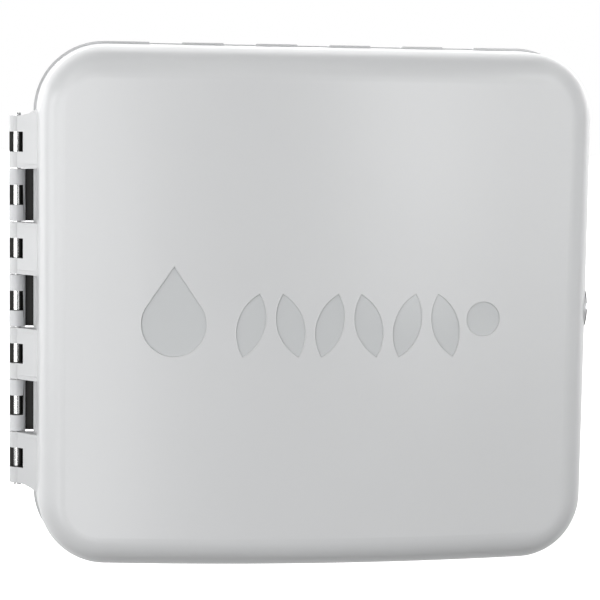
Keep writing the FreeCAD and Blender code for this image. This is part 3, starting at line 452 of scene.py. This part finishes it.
def clear_window(name):
    """Clear polycarbonate: colourless, barely tinted, with hairline scuffs that only a highlight shows."""
    material, tree, shader, place = new_material(name)
    stretch = add(tree, "Mapping", {"Vector": place, "Scale": [1, 1, 12], "Rotation": [0, 0.5, 0]})
    scuffs = add(tree, "TexNoise", {"Vector": stretch.outputs["Vector"], "Scale": 1 / (6 * MM),
                                    "Detail": 5.0})
    rough = add(tree, "MapRange", {"Value": scuffs.outputs["Fac"], "From Min": 0.6, "From Max": 0.75,
                                   "To Min": 0.03, "To Max": 0.12})
    plug_in(tree, shader, {"Base Color": linear("F2F6F4"), "Roughness": rough.outputs["Result"],
                           "Transmission Weight": 1.0, "IOR": 1.58})
    return material


dress("screen_window", clear_window("clear polycarbonate"))


def lcd_glass(name):
    """Reflective liquid crystal glass: a grey-green polariser with a faint grid, drawn coarse to show."""
    material, tree, shader, place = new_material(name)
    parts = add(tree, "SeparateXYZ", {"Vector": place}).outputs
    flat = add(tree, "CombineXYZ", {"X": parts["X"], "Y": parts["Z"]}).outputs["Vector"]
    cells = add(tree, "TexBrick", {"Vector": flat, "Color1": linear("9AA693"), "Color2": linear("95A18E"),
                                   "Mortar": linear("8E9A88"), "Scale": 1.0, "Mortar Size": 0.06 * MM,
                                   "Brick Width": 0.9 * MM, "Row Height": 0.9 * MM}, offset=0.0)
    plug_in(tree, shader, {"Base Color": cells.outputs["Color"], "Roughness": 0.12, "IOR": 1.52})
    return material


dress("screen_glass", lcd_glass("liquid crystal glass"))

# The gasket: a die-cut foam frame that keeps dust out from between the screen and its window.
gasket = slab("screen_gasket", -82.9, -5.1, -80.35, -77.6, 32.1, 71.9)
round_edges(gasket, 0.3)
carve(gasket, slab("opening", -80.1, -7.9, -81, -77, 33.4, 70.6))
smooth(gasket)
foam = moulded("black foam gasket", "161718", rough=0.85, grain=0.35, relief=0.05)
place_piece(gasket, foam, "swing_panel")


# ---- printed front of the face pack ------------------------------------------------------------------------
# Screen-printed ink on the housing: a ring of ticks and numbers round the dial, a rule round each group of
# controls, and plus, minus and arrow signs by the caps. Every mark is a film of ink 0.05 mm thick.
PRINT_Y, INK_THICK = -82.4, 0.05
ink = moulded("pale printing ink", "E6E9EA", rough=0.55, grain=0.3, relief=0.004)


def printed(name, corners):
    """A closed outline in X and Z (mm), raised off the housing by the ink's thickness."""
    bpy.ops.object.select_all(action="DESELECT")
    bpy.ops.mesh.primitive_circle_add(vertices=len(corners), radius=1, fill_type="NGON",
                                      rotation=(math.pi / 2, 0, 0))
    mark = bpy.context.object
    bpy.ops.object.transform_apply(location=True, rotation=True, scale=True)
    mark.name = name
    for v, (x, z) in zip(mark.data.vertices, corners):
        v.co = Vector((x, PRINT_Y, z)) * MM
    raised = dict(value=(0, -INK_THICK * MM, 0))
    edit(mark, "FACE", lambda c, n: True,
         (bpy.ops.mesh.extrude_region_move, dict(TRANSFORM_OT_translate=raised)))
    edit(mark, "FACE", lambda c, n: True, (bpy.ops.mesh.normals_make_consistent, dict(inside=False)))
    return mark


def joined(name, marks):
    """Several meshes made one."""
    bpy.ops.object.select_all(action="DESELECT")
    for mark in marks:
        mark.select_set(True)
    bpy.context.view_layer.objects.active = marks[0]
    bpy.ops.object.join()
    marks[0].name = name
    return marks[0]


def bar_mark(name, x0, x1, z0, z1):
    """A straight bar of ink between its limits (mm)."""
    return printed(name, [(x0, z0), (x1, z0), (x1, z1), (x0, z1)])


def frame_mark(x0, x1, z0, z1, line):
    """Four bars round a group of controls."""
    return [bar_mark("rule", x0, x1, z1 - line, z1), bar_mark("rule", x0, x1, z0, z0 + line),
            bar_mark("rule", x0, x0 + line, z0, z1), bar_mark("rule", x1 - line, x1, z0, z1)]


DIAL_X, DIAL_Z, HOUR = 52.0, 16.0, math.radians(30)
TICK_IN, TICK_OUT, TICK_HALF, NUMBERS_R = 32.5, 35.5, 0.45, 40.0
marks = []
for k in range(12):
    s, c = math.sin(HOUR * k), math.cos(HOUR * k)
    marks.append(printed("tick", [(DIAL_X + r * s + w * c, DIAL_Z + r * c - w * s) for r, w in
                                  ((TICK_IN, TICK_HALF), (TICK_OUT, TICK_HALF),
                                   (TICK_OUT, -TICK_HALF), (TICK_IN, -TICK_HALF))]))
marks += frame_mark(-88, -2, 28, 76, line=0.5)
marks += frame_mark(-88, -2, -36, 20, line=0.35)
marks += [bar_mark("minus", -36.5, -31.5, 0.4, 1.4),
          bar_mark("plus", -16.5, -11.5, 0.4, 1.4),
          bar_mark("plus", -14.5, -13.5, -1.6, 3.4),
          printed("back", [(-82.5, 0.9), (-78.5, 3.1), (-78.5, -1.3)]),
          printed("next", [(-61.5, -1.3), (-61.5, 3.1), (-57.5, 0.9)])]
place_piece(joined("printed_marks", marks), ink, "swing_panel")


def printed_text(name, body, size, x, z, y=PRINT_Y, thick=INK_THICK):
    """Lettering centred on X and Z, raised off the plane Y = y."""
    bpy.ops.object.select_all(action="DESELECT")
    bpy.ops.object.text_add(location=(x * MM, (y - thick / 2) * MM, z * MM), rotation=(math.pi / 2, 0, 0))
    text = bpy.context.object
    text.data.body = body
    text.data.size = size * MM
    text.data.align_x = "CENTER"
    text.data.align_y = "CENTER"
    text.data.extrude = thick / 2 * MM
    alone(text)
    bpy.ops.object.convert(target="MESH")
    text = bpy.context.object
    bpy.ops.object.transform_apply(location=True, rotation=True, scale=True)
    text.name = name
    return text


numbers = [printed_text("number", str(k or 12), 5.5, DIAL_X + NUMBERS_R * math.sin(HOUR * k),
                        DIAL_Z + NUMBERS_R * math.cos(HOUR * k)) for k in range(12)]
place_piece(joined("dial_numbers", numbers), ink, "swing_panel")

# The screen shows a time over a row of stations, as dark segments just in front of the glass.
SCREEN_X, SCREEN_Y = -44.0, -80.2
digits = joined("screen_digits",
                [printed_text("digits", body, size, SCREEN_X, z, y=SCREEN_Y, thick=0.1)
                 for body, size, z in (("7:30", 17.0, 54.0), ("12 3 4", 6.0, 39.5))])
segments = moulded("liquid crystal segments", "232B26", rough=0.25, grain=0.4, relief=0.002)
place_piece(digits, segments, "swing_panel")


# ---- dial --------------------------------------------------------------------------------------------------
# A soft-cornered knob with a ribbed skirt and a finger bar, whose sunk pointer line is filled white. It is
# moulded in one piece, pressed on its acetal shaft.
DIAL_BACK, DIAL_TOP, SKIRT_R, RIBS = -81.8, -86.8, 25.0, 36
BAR_TOP, BAR_HALF, BAR_REACH = -94.8, 5.5, 23.5
knob = rod_along_y("dial_body", SKIRT_R, DIAL_X, DIAL_Z, DIAL_TOP, DIAL_BACK, sides=2 * RIBS)


def on_a_rib(c, n):
    """Every other face round the skirt."""
    turn = math.degrees(math.atan2(c.z - DIAL_Z, c.x - DIAL_X))
    return abs(n.y) < 0.1 and round(turn / (180 / RIBS)) % 2 == 0


edit(knob, "FACE", lambda c, n: n.y < -0.9,
     (bpy.ops.mesh.inset, dict(thickness=3.2 * MM)),
     (bpy.ops.transform.translate, dict(value=(0, -1.2 * MM, 0))),
     (bpy.ops.mesh.inset, dict(thickness=1.2 * MM)),
     (bpy.ops.transform.translate, dict(value=(0, 0.7 * MM, 0))))
edit(knob, "FACE", on_a_rib,
     (bpy.ops.mesh.extrude_faces_move, dict(TRANSFORM_OT_shrink_fatten=dict(value=1.0 * MM))),
     (bpy.ops.transform.resize, dict(value=(1, 0.9, 1))))
round_edges(knob, 0.25)
bar = slab("finger_bar", DIAL_X - BAR_HALF, DIAL_X + BAR_HALF, BAR_TOP, DIAL_TOP,
           DIAL_Z - BAR_REACH, DIAL_Z + BAR_REACH)
edit(bar, "EDGE", lambda c, d: abs(d.y) > 0.9,
     (bpy.ops.mesh.bevel, dict(offset=5.2 * MM, segments=8, affect="EDGES")))
edit(bar, "FACE", lambda c, n: n.y < -0.9,
     (bpy.ops.transform.resize, dict(value=(0.8, 1, 0.95))))
round_edges(bar, 1.0, segments=3, angle=50)
carve(bar, slab("groove", DIAL_X - 0.7, DIAL_X + 0.7, BAR_TOP - 1, BAR_TOP + 0.5, DIAL_Z + 8, DIAL_Z + 20))
smooth(bar)
carve(knob, bar, "UNION")
smooth(knob)
dial_black = moulded("black dial", "1F2225", rough=0.35, grain=0.7)
place_piece(knob, dial_black, "dial", ["dial_knob"])
pointer = slab("dial_pointer", DIAL_X - 0.65, DIAL_X + 0.65, BAR_TOP + 0.25, BAR_TOP + 0.6,
               DIAL_Z + 8.05, DIAL_Z + 19.95)
round_edges(pointer, 0.1)
place_piece(pointer, moulded("white pointer paint", "F1F1EC", rough=0.5, grain=0.4), "dial")


# ---- controls ----------------------------------------------------------------------------------------------
# The dial's acetal shaft, five push-button caps, the bypass switch's nib and the reset stem. They are
# glossier mouldings than the housing round them.
dress("dial_shaft", moulded("acetal shaft", "E4E2DA", rough=0.35, grain=0.9))
button_plastic = moulded("grey button caps", "AEB4B8", rough=0.4, grain=0.7)
for name in ("back_button", "next_button", "minus_button", "plus_button", "program_button"):
    dress(name, button_plastic)
dress("bypass_switch_knob", moulded("white switch nib", "DADBD8", rough=0.38, grain=0.8))
dress("reset_button", moulded("red reset stem", "A83226", rough=0.4, grain=0.8))


# ---- parts soldered on the two boards ----------------------------------------------------------------------
# What fills the free ends of the terminal board and the back of the control board: aluminium-can capacitors
# with a scored vent, blue disc varistors on the terminal board's inputs, and black chips with tinned legs.
board_chip = moulded("black epoxy chip body", "1B1B1D", rough=0.55, grain=0.25, relief=0.006)
tinned = bright_metal("tinned legs", "CFD0CE", rough=0.32, streaks=0.1, pitch=0.4)
can_metal = bright_metal("drawn aluminium can", "C8CACB", rough=0.3, along=(1, 0.05, 1), streaks=0.06,
                         pitch=0.5)
varistor_blue = moulded("blue epoxy varistor", "2A5CA8", rough=0.3, grain=1.2, relief=0.04, clouds=0.06)


def can_capacitor(name, body, x, z, seat, radius, tall, towards):
    """An upright can: a rolled rim and a cross scored in its top."""
    top = seat + towards * tall
    can = rod_along_y(name, radius, x, z, min(seat, top), max(seat, top))
    edit(can, "FACE", lambda c, n: n.y * towards > 0.9,
         (bpy.ops.mesh.inset, dict(thickness=radius * 0.18 * MM)),
         (bpy.ops.transform.translate, dict(value=(0, -towards * 0.25 * MM, 0))))
    for wide, thin in ((radius * 0.6, 0.12), (0.12, radius * 0.6)):
        carve(can, slab("score", x - wide, x + wide, top - 0.5, top + 0.5, z - thin, z + thin))
    round_edges(can, 0.2, angle=50)
    place_piece(can, can_metal, body)


def disc_varistor(name, x, z, seat):
    """A lacquered disc that stands edge-on to the board on two short legs."""
    radius, thick, lift = 3.6, 2.6, 4.8
    bpy.ops.object.select_all(action="DESELECT")
    bpy.ops.mesh.primitive_cylinder_add(vertices=32, radius=radius * MM, depth=thick * MM,
                                        location=(x * MM, (seat - lift) * MM, z * MM))
    disc = bpy.context.object
    disc.name = name
    bpy.ops.object.transform_apply(location=True, rotation=True, scale=True)
    round_edges(disc, 1.0, segments=4)
    place_piece(disc, varistor_blue, "case")
    legs = [slab("leg", x + left, x + left + 0.5, seat - 2.2, seat - 0.02, z - 0.25, z + 0.25)
            for left in (-2.3, 1.8)]
    for leg in legs:
        round_edges(leg, 0.1)
    place_piece(joined(name + "_legs", legs), tinned, "case")


def chip(name, body, x, z, seat, width, tall, towards, pins):
    """A small-outline chip: a chamfered body with a pin-one dimple, and flat legs down both sides."""
    front, back, floor_of_dimple = (seat + towards * rise for rise in (1.9, 0.15, 1.6))
    block = slab(name, x - width / 2, x + width / 2, min(front, back), max(front, back),
                 z - tall / 2, z + tall / 2)
    edit(block, "FACE", lambda c, n: n.y * towards > 0.9,
         (bpy.ops.mesh.bevel, dict(offset=0.3 * MM, segments=1, affect="EDGES")))
    carve(block, rod_along_y("dimple", 0.5, x - width / 2 + 1.2, z + tall / 2 - 1.2,
                             min(front, floor_of_dimple), max(front, floor_of_dimple), sides=16))
    round_edges(block, 0.08, segments=1)
    place_piece(block, board_chip, body)
    low, high = sorted((seat + towards * 0.04, seat + towards * 0.28))
    legs = []
    for side in (-1, 1):
        for k in range(pins):
            middle = z - tall / 2 + tall * (k + 0.5) / pins
            left, right = sorted((x + side * (width / 2 - 0.1), x + side * (width / 2 + 1.0)))
            legs.append(slab("leg", left, right, low, high, middle - 0.22, middle + 0.22))
    rows = joined(name + "_legs", legs)
    round_edges(rows, 0.05, segments=1)
    place_piece(rows, tinned, body)


BOARD_FACE, CONTROL_FACE = -13.6, -70.0
for number, z in enumerate((56.0, 66.5)):
    can_capacitor(f"field_capacitor_{number + 1}", "case", x=-72.5, z=z, seat=BOARD_FACE - 0.02,
                  radius=4.0, tall=11.0, towards=-1)
for number in range(3):
    disc_varistor(f"varistor_{number + 1}", x=-78.5, z=-14.0 + 9.0 * number, seat=BOARD_FACE)
chip("driver_chip", "case", -69.5, 2.0, BOARD_FACE, width=5.5, tall=9.0, towards=-1, pins=7)
chip("control_chip", "swing_panel", 30.0, 40.0, CONTROL_FACE, width=10.0, tall=12.0, towards=1, pins=9)
chip("memory_chip", "swing_panel", 55.0, -20.0, CONTROL_FACE, width=5.0, tall=6.0, towards=1, pins=4)
can_capacitor("control_capacitor", "swing_panel", x=-55.0, z=0.0, seat=CONTROL_FACE + 0.02,
              radius=3.1, tall=5.0, towards=1)


# ---- the lid -----------------------------------------------------------------------------------------------
# The big front moulding, in pale neutral grey ABS. Its skin is eroded very finely, so lights spread over it
# softly, and the floors of the emblem's shallow pockets are polished in the mould, so they mirror the room.
lid_plastic = moulded("lid ABS, finely eroded skin", "C7C8C9", rough=0.3, grain=0.6, relief=0.008,
                      clouds=0.012)
polished = moulded("lid ABS, polished in the mould", "C1C3C4", rough=0.1, grain=3.0, relief=0.002,
                   clouds=0.01)
dress("lid", lid_plastic)
nodes["lid"].data.materials.append(polished)
BOW_R, LID_FRONT, POCKET_DEEP, EMBLEM_HALF = 620.0, 109.0, 0.45, 25
for face in nodes["lid"].data.polygons:
    x, y, z = face.center / MM
    from_axis = math.hypot(x, y - (BOW_R - LID_FRONT))
    on_a_floor = abs(from_axis - (BOW_R - POCKET_DEEP)) < 0.12 and face.normal.y < -0.9
    if on_a_floor and abs(z) < EMBLEM_HALF:
        face.material_index = 1


# ---- painted shade in the hinge ----------------------------------------------------------------------------
# The hinge's moulded windows and the slots beside the case's knuckles are painted almost black: painted shade
# that stands for the deep shadow inside them, given as a dark rough plastic.
painted_hinge_shade = moulded("painted shade in the hinge pockets", "1A1917", rough=0.7, grain=0.8, relief=0.05, clouds=0.3)
HINGE_X, HINGE_HALF, KNUCKLE = -127.25, 80, 160.0 / 7
for name in ("lid", "case"):
    mesh = nodes[name].data
    mesh.materials.append(painted_hinge_shade)
    painted_shade_index = len(mesh.materials) - 1
    for face in mesh.polygons:
        x, y, z = face.center / MM
        off_middle = abs((z + HINGE_HALF) % KNUCKLE - KNUCKLE / 2)
        in_row = abs(x - HINGE_X + 1.2) < 3.9 and abs(z) < HINGE_HALF
        in_window = in_row and -66.6 < y < -59.4 and off_middle < 4.4
        beside_knuckles = name == "case" and -123.9 < x < -112 and abs(z) < 62
        in_slot = beside_knuckles and -63 < y < -54 and face.normal.y < -0.5
        # The walls of the windows and of the slots take the painted shade.
        if in_window or in_slot:
            face.material_index = painted_shade_index


# ---- raised line round each mark of the emblem -------------------------------------------------------------
# The mould's insert leaves a fine bead of ABS round every pocket, half a millimetre wide and just proud of
# the bowed face.
BEAD_R, BEAD_SUNK = 0.26, 0.16


def bead(name, outline):
    """A fine round line laid along an outline of the bowed face."""
    bpy.ops.object.select_all(action="DESELECT")
    bpy.ops.mesh.primitive_circle_add(vertices=len(outline), radius=1, fill_type="NOTHING")
    line = bpy.context.object
    for v, (x, z) in zip(line.data.vertices, outline):
        v.co = Vector((x, BOW_R - LID_FRONT - math.sqrt(BOW_R ** 2 - x ** 2) + BEAD_SUNK, z)) * MM
    bpy.ops.object.convert(target="CURVE")
    line = bpy.context.object
    line.data.bevel_depth = BEAD_R * MM
    line.data.bevel_resolution = 2
    bpy.ops.object.convert(target="MESH")
    line = bpy.context.object
    line.name = name
    smooth(line, 60)
    place_piece(line, lid_plastic, "lid")


def arc(cx, cz, r, start, end, steps):
    """Points from one angle to another, measured in degrees from +X towards +Z."""
    turns = [math.radians(start + (end - start) * k / steps) for k in range(steps + 1)]
    return [(cx + r * math.cos(t), cz + r * math.sin(t)) for t in turns]


FOOT_Z = -19.0
DROP_X, DROP_TALL = -62.0, 38.0
belly = DROP_TALL * 0.36
touch = math.degrees(math.asin(belly / (DROP_TALL - belly)))
round_part = arc(DROP_X, FOOT_Z + belly, belly, 180 - touch, 360 + touch, steps=40)
bead("drop_bead", round_part + [(DROP_X, FOOT_Z + DROP_TALL)])

SUN_X, SUN_Z, SUN_R = 69.0, FOOT_Z + 16.0, 7.5
bead("sun_bead", arc(SUN_X, SUN_Z, SUN_R, 0, 348, steps=29))

# Each leaf is two arcs that meet at its foot and its tip. The leaves lean left and right in turn.
LEAF_X, LEAF_PITCH, LEAF_TALL, LEAF_LEAN, LEAF_SAG = -30.0, 16.5, 27.0, 7.0, 6.0
for number in range(6):
    lean = LEAF_LEAN if number % 2 == 0 else -LEAF_LEAN
    foot = Vector((LEAF_X + LEAF_PITCH * number - lean / 2, FOOT_Z))
    tip = Vector((LEAF_X + LEAF_PITCH * number + lean / 2, FOOT_Z + LEAF_TALL))
    chord, across = tip - foot, Vector(((tip - foot).y, (foot - tip).x)).normalized()
    bend = (chord.length ** 2 / 4 + LEAF_SAG ** 2) / (2 * LEAF_SAG)
    half = math.asin(chord.length / 2 / bend)
    points = []
    for side in (1, -1):
        centre = (foot + tip) / 2 + across * side * (LEAF_SAG - bend)
        for k in range(14):
            t = -half + 2 * half * k / 14
            spot = (centre + across * side * bend * math.cos(t)
                    + chord.normalized() * side * bend * math.sin(t))
            points.append((spot.x, spot.y))
    bead(f"leaf_bead_{number + 1}", points)


# ---- schedule card -----------------------------------------------------------------------------------------
# A card glued inside the lid for the owner's watering times: offset-printed grey rules on white board, whose
# fibres give it a faint tooth.
def ruled_card(name):
    """A printed card: ruled rows and columns in grey on white, under the fibres of the paper."""
    material, tree, shader, place = new_material(name)
    parts = add(tree, "SeparateXYZ", {"Vector": place}).outputs
    row = add(tree, "Math", {0: parts["Z"], 1: 1 / (8 * MM)}, operation="MULTIPLY").outputs[0]
    column = add(tree, "Math", {0: parts["X"], 1: 1 / (19.5 * MM)}, operation="MULTIPLY").outputs[0]
    row_phase = add(tree, "Math", {0: row}, operation="FRACT").outputs[0]
    column_phase = add(tree, "Math", {0: column}, operation="FRACT").outputs[0]
    row_line = add(tree, "Math", {0: row_phase, 1: 0.05}, operation="LESS_THAN").outputs[0]
    column_line = add(tree, "Math", {0: column_phase, 1: 0.02}, operation="LESS_THAN").outputs[0]
    rule = add(tree, "Math", {0: row_line, 1: column_line}, operation="MAXIMUM").outputs[0]
    fibre = add(tree, "TexNoise", {"Vector": place, "Scale": 1 / (1.2 * MM), "Detail": 4.0}).outputs["Fac"]
    paper = add(tree, "Mix", {"Factor": fibre, MIX_A: linear("E2E1DB"), MIX_B: linear("F2F1EC")},
                data_type="RGBA")
    tone = add(tree, "Mix", {"Factor": rule, MIX_A: paper.outputs[MIXED], MIX_B: linear("6F7A86")},
               data_type="RGBA").outputs[MIXED]
    bump = add(tree, "Bump", {"Height": fibre, "Strength": 1.0, "Distance": 0.01 * MM})
    plug_in(tree, shader, {"Base Color": tone, "Roughness": 0.7, "Normal": bump.outputs["Normal"]})
    return material


dress("schedule_card", ruled_card("ruled schedule card"))


# ---- cam lock ----------------------------------------------------------------------------------------------
# A chromed zinc casting through the lid's right side, with a nickel-plated plug in it. A zinc-plated nut
# clamps it behind the wall, and a stamped cam is screwed to the plug's end.
dress("lock_housing", bright_metal("chromed zinc casting", "D9DBDD", rough=0.14, streaks=0.03, pitch=2.0))
dress("lock_plug", bright_metal("turned nickel plug", "C9C7C0", rough=0.26, streaks=0.08, pitch=0.4))
dress("lock_nut", bright_metal("zinc-plated nut", "BFC1C4", rough=0.34, streaks=0.12, pitch=0.8))
dress("lock_cam", bright_metal("zinc-plated cam", "BDBFC0", rough=0.36, along=(1, 0.2, 1), streaks=0.12,
                               pitch=0.9))
dress("lock_cam_screw", zinc)


# ---- stage -------------------------------------------------------------------------------------------------
# A studio: a pale floor far below, pure white behind the piece for the camera, thirteen small soft panels in
# front that shade the lid, and seven large ones at the sides, overhead and behind.
bpy.ops.object.select_all(action="DESELECT")
bpy.ops.mesh.primitive_plane_add(size=60, location=(0, 0, -0.75))
floor = bpy.context.object
floor.name = "floor"
floor.visible_glossy = False
floor.visible_diffuse = False
floor_material, floor_tree, floor_shader, floor_place = new_material("pale studio floor")
floor_mottle = add(floor_tree, "TexNoise", {"Vector": floor_place, "Scale": 2.0})
floor_tone = add(floor_tree, "Mix", {"Factor": floor_mottle.outputs["Fac"], MIX_A: linear("FDFDFD"),
                                     MIX_B: linear("FFFFFF")}, data_type="RGBA")
plug_in(floor_tree, floor_shader, {"Base Color": floor_tone.outputs[MIXED], "Roughness": 0.9,
                                   "Emission Color": linear("FFFFFF"), "Emission Strength": 1.0})
floor.data.materials.append(floor_material)

# The room is dark but for a bright sheet behind the piece. Mirrored rays see the sheet whole, and scattered
# rays see it at three tenths, so it lights the rims without washing out the back.
world = bpy.data.worlds.new("studio")
bpy.context.scene.world = world
world.use_nodes = True
sky = world.node_tree
background = sky.nodes["Background"]
ray = add(sky, "LightPath").outputs["Is Camera Ray"]
heading = add(sky, "SeparateXYZ", {"Vector": add(sky, "TexCoord").outputs["Generated"]}).outputs
behind = add(sky, "MapRange", {"Value": heading["Y"], "From Min": 0.0, "From Max": 0.5}).outputs["Result"]
level = add(sky, "MapRange", {"Value": heading["Z"], "From Min": -0.1, "From Max": 0.1,
                              "To Min": 1.15, "To Max": 2.55}).outputs["Result"]
spread = add(sky, "LightPath").outputs["Is Diffuse Ray"]
dimmed = add(sky, "MapRange", {"Value": spread, "To Min": 1.0, "To Max": 0.3}).outputs["Result"]
sheet = add(sky, "Math", {0: level, 1: dimmed}, operation="MULTIPLY").outputs[0]
backdrop = add(sky, "Math", {0: behind, 1: sheet, 2: 0.02}, operation="MULTIPLY_ADD").outputs[0]
seen = add(sky, "Mix", {"Factor": ray, MIX_A: backdrop, MIX_B: [1.0, 1.0, 1.0, 1]}, data_type="RGBA")
sky.links.new(seen.outputs[MIXED], background.inputs["Color"])


LAMP_AWAY = 1.5


def softbox(name, azimuth, elevation, width, height, watts):
    """A soft light aimed at the lid, with its azimuth to the right of straight ahead and its elevation."""
    turn, rise = math.radians(azimuth), math.radians(elevation)
    aim = Vector((0, -0.1, 0))
    away = Vector((math.sin(turn) * math.cos(rise), -math.cos(turn) * math.cos(rise), math.sin(rise)))
    bpy.ops.object.select_all(action="DESELECT")
    bpy.ops.object.light_add(type="AREA", location=aim + away * LAMP_AWAY)
    lamp = bpy.context.object
    lamp.name = name
    lamp.visible_camera = False
    lamp.data.shape = "RECTANGLE"
    lamp.data.size = width
    lamp.data.size_y = height
    lamp.data.energy = watts
    lamp.rotation_euler = (-away).to_track_quat("-Z", "Y").to_euler()


panels = ((-48, 27, 1.8), (-48, 4, 3.07), (-48, -17, 1.9), (-34, 4, 2.29), (-22, 4, 2.31),
          (-22, -17, 2.23), (14, 12, 0.8), (19, 4, 2.6), (30, 27, 0.5), (30, 4, 1.25), (44, 27, 3.4),
          (44, 4, 2.22), (44, -17, 0.6))
for number, (azimuth, elevation, watts) in enumerate(panels):
    softbox(f"panel_{number + 1}", azimuth, elevation, width=0.3, height=0.5, watts=watts)
for name, azimuth, elevation, watts in (("left_wing", -75, 5, 8.55), ("right_wing", 75, 5, 2.9),
                                        ("right_high", 75, 45, 2.34), ("overhead", 0.5, 60, 0.7),
                                        ("left_rear", -113, 5, 3.6), ("right_rear", 113, 5, 2.4),
                                        ("top_rear", 179, 62, 2.4)):
    softbox(name, azimuth, elevation, width=0.8, height=0.8, watts=watts)

# The camera stands 0.8 m off, a little to the left and above, and looks slightly right and down.
eye = Vector((-108.71, -887.92, 87.14)) * MM
yaw, pitch, roll = math.radians(7.235), math.radians(5.949), math.radians(0.857)
forward = Vector((math.sin(yaw) * math.cos(pitch), math.cos(yaw) * math.cos(pitch), -math.sin(pitch)))
sideways = Vector((math.cos(yaw), -math.sin(yaw), 0))
upwards = sideways.cross(forward)
right = sideways * math.cos(roll) + upwards * math.sin(roll)
above = upwards * math.cos(roll) - sideways * math.sin(roll)
bpy.ops.object.select_all(action="DESELECT")
bpy.ops.object.camera_add(location=eye)
camera = bpy.context.object
camera.rotation_mode = "QUATERNION"
camera.rotation_quaternion = Matrix((right, above, -forward)).transposed().to_quaternion()
camera.data.sensor_width = 36.0
camera.data.lens = 113.856
camera.data.clip_start = 0.01
bpy.context.scene.camera = camera
bpy.context.scene.view_settings.view_transform = "Standard"
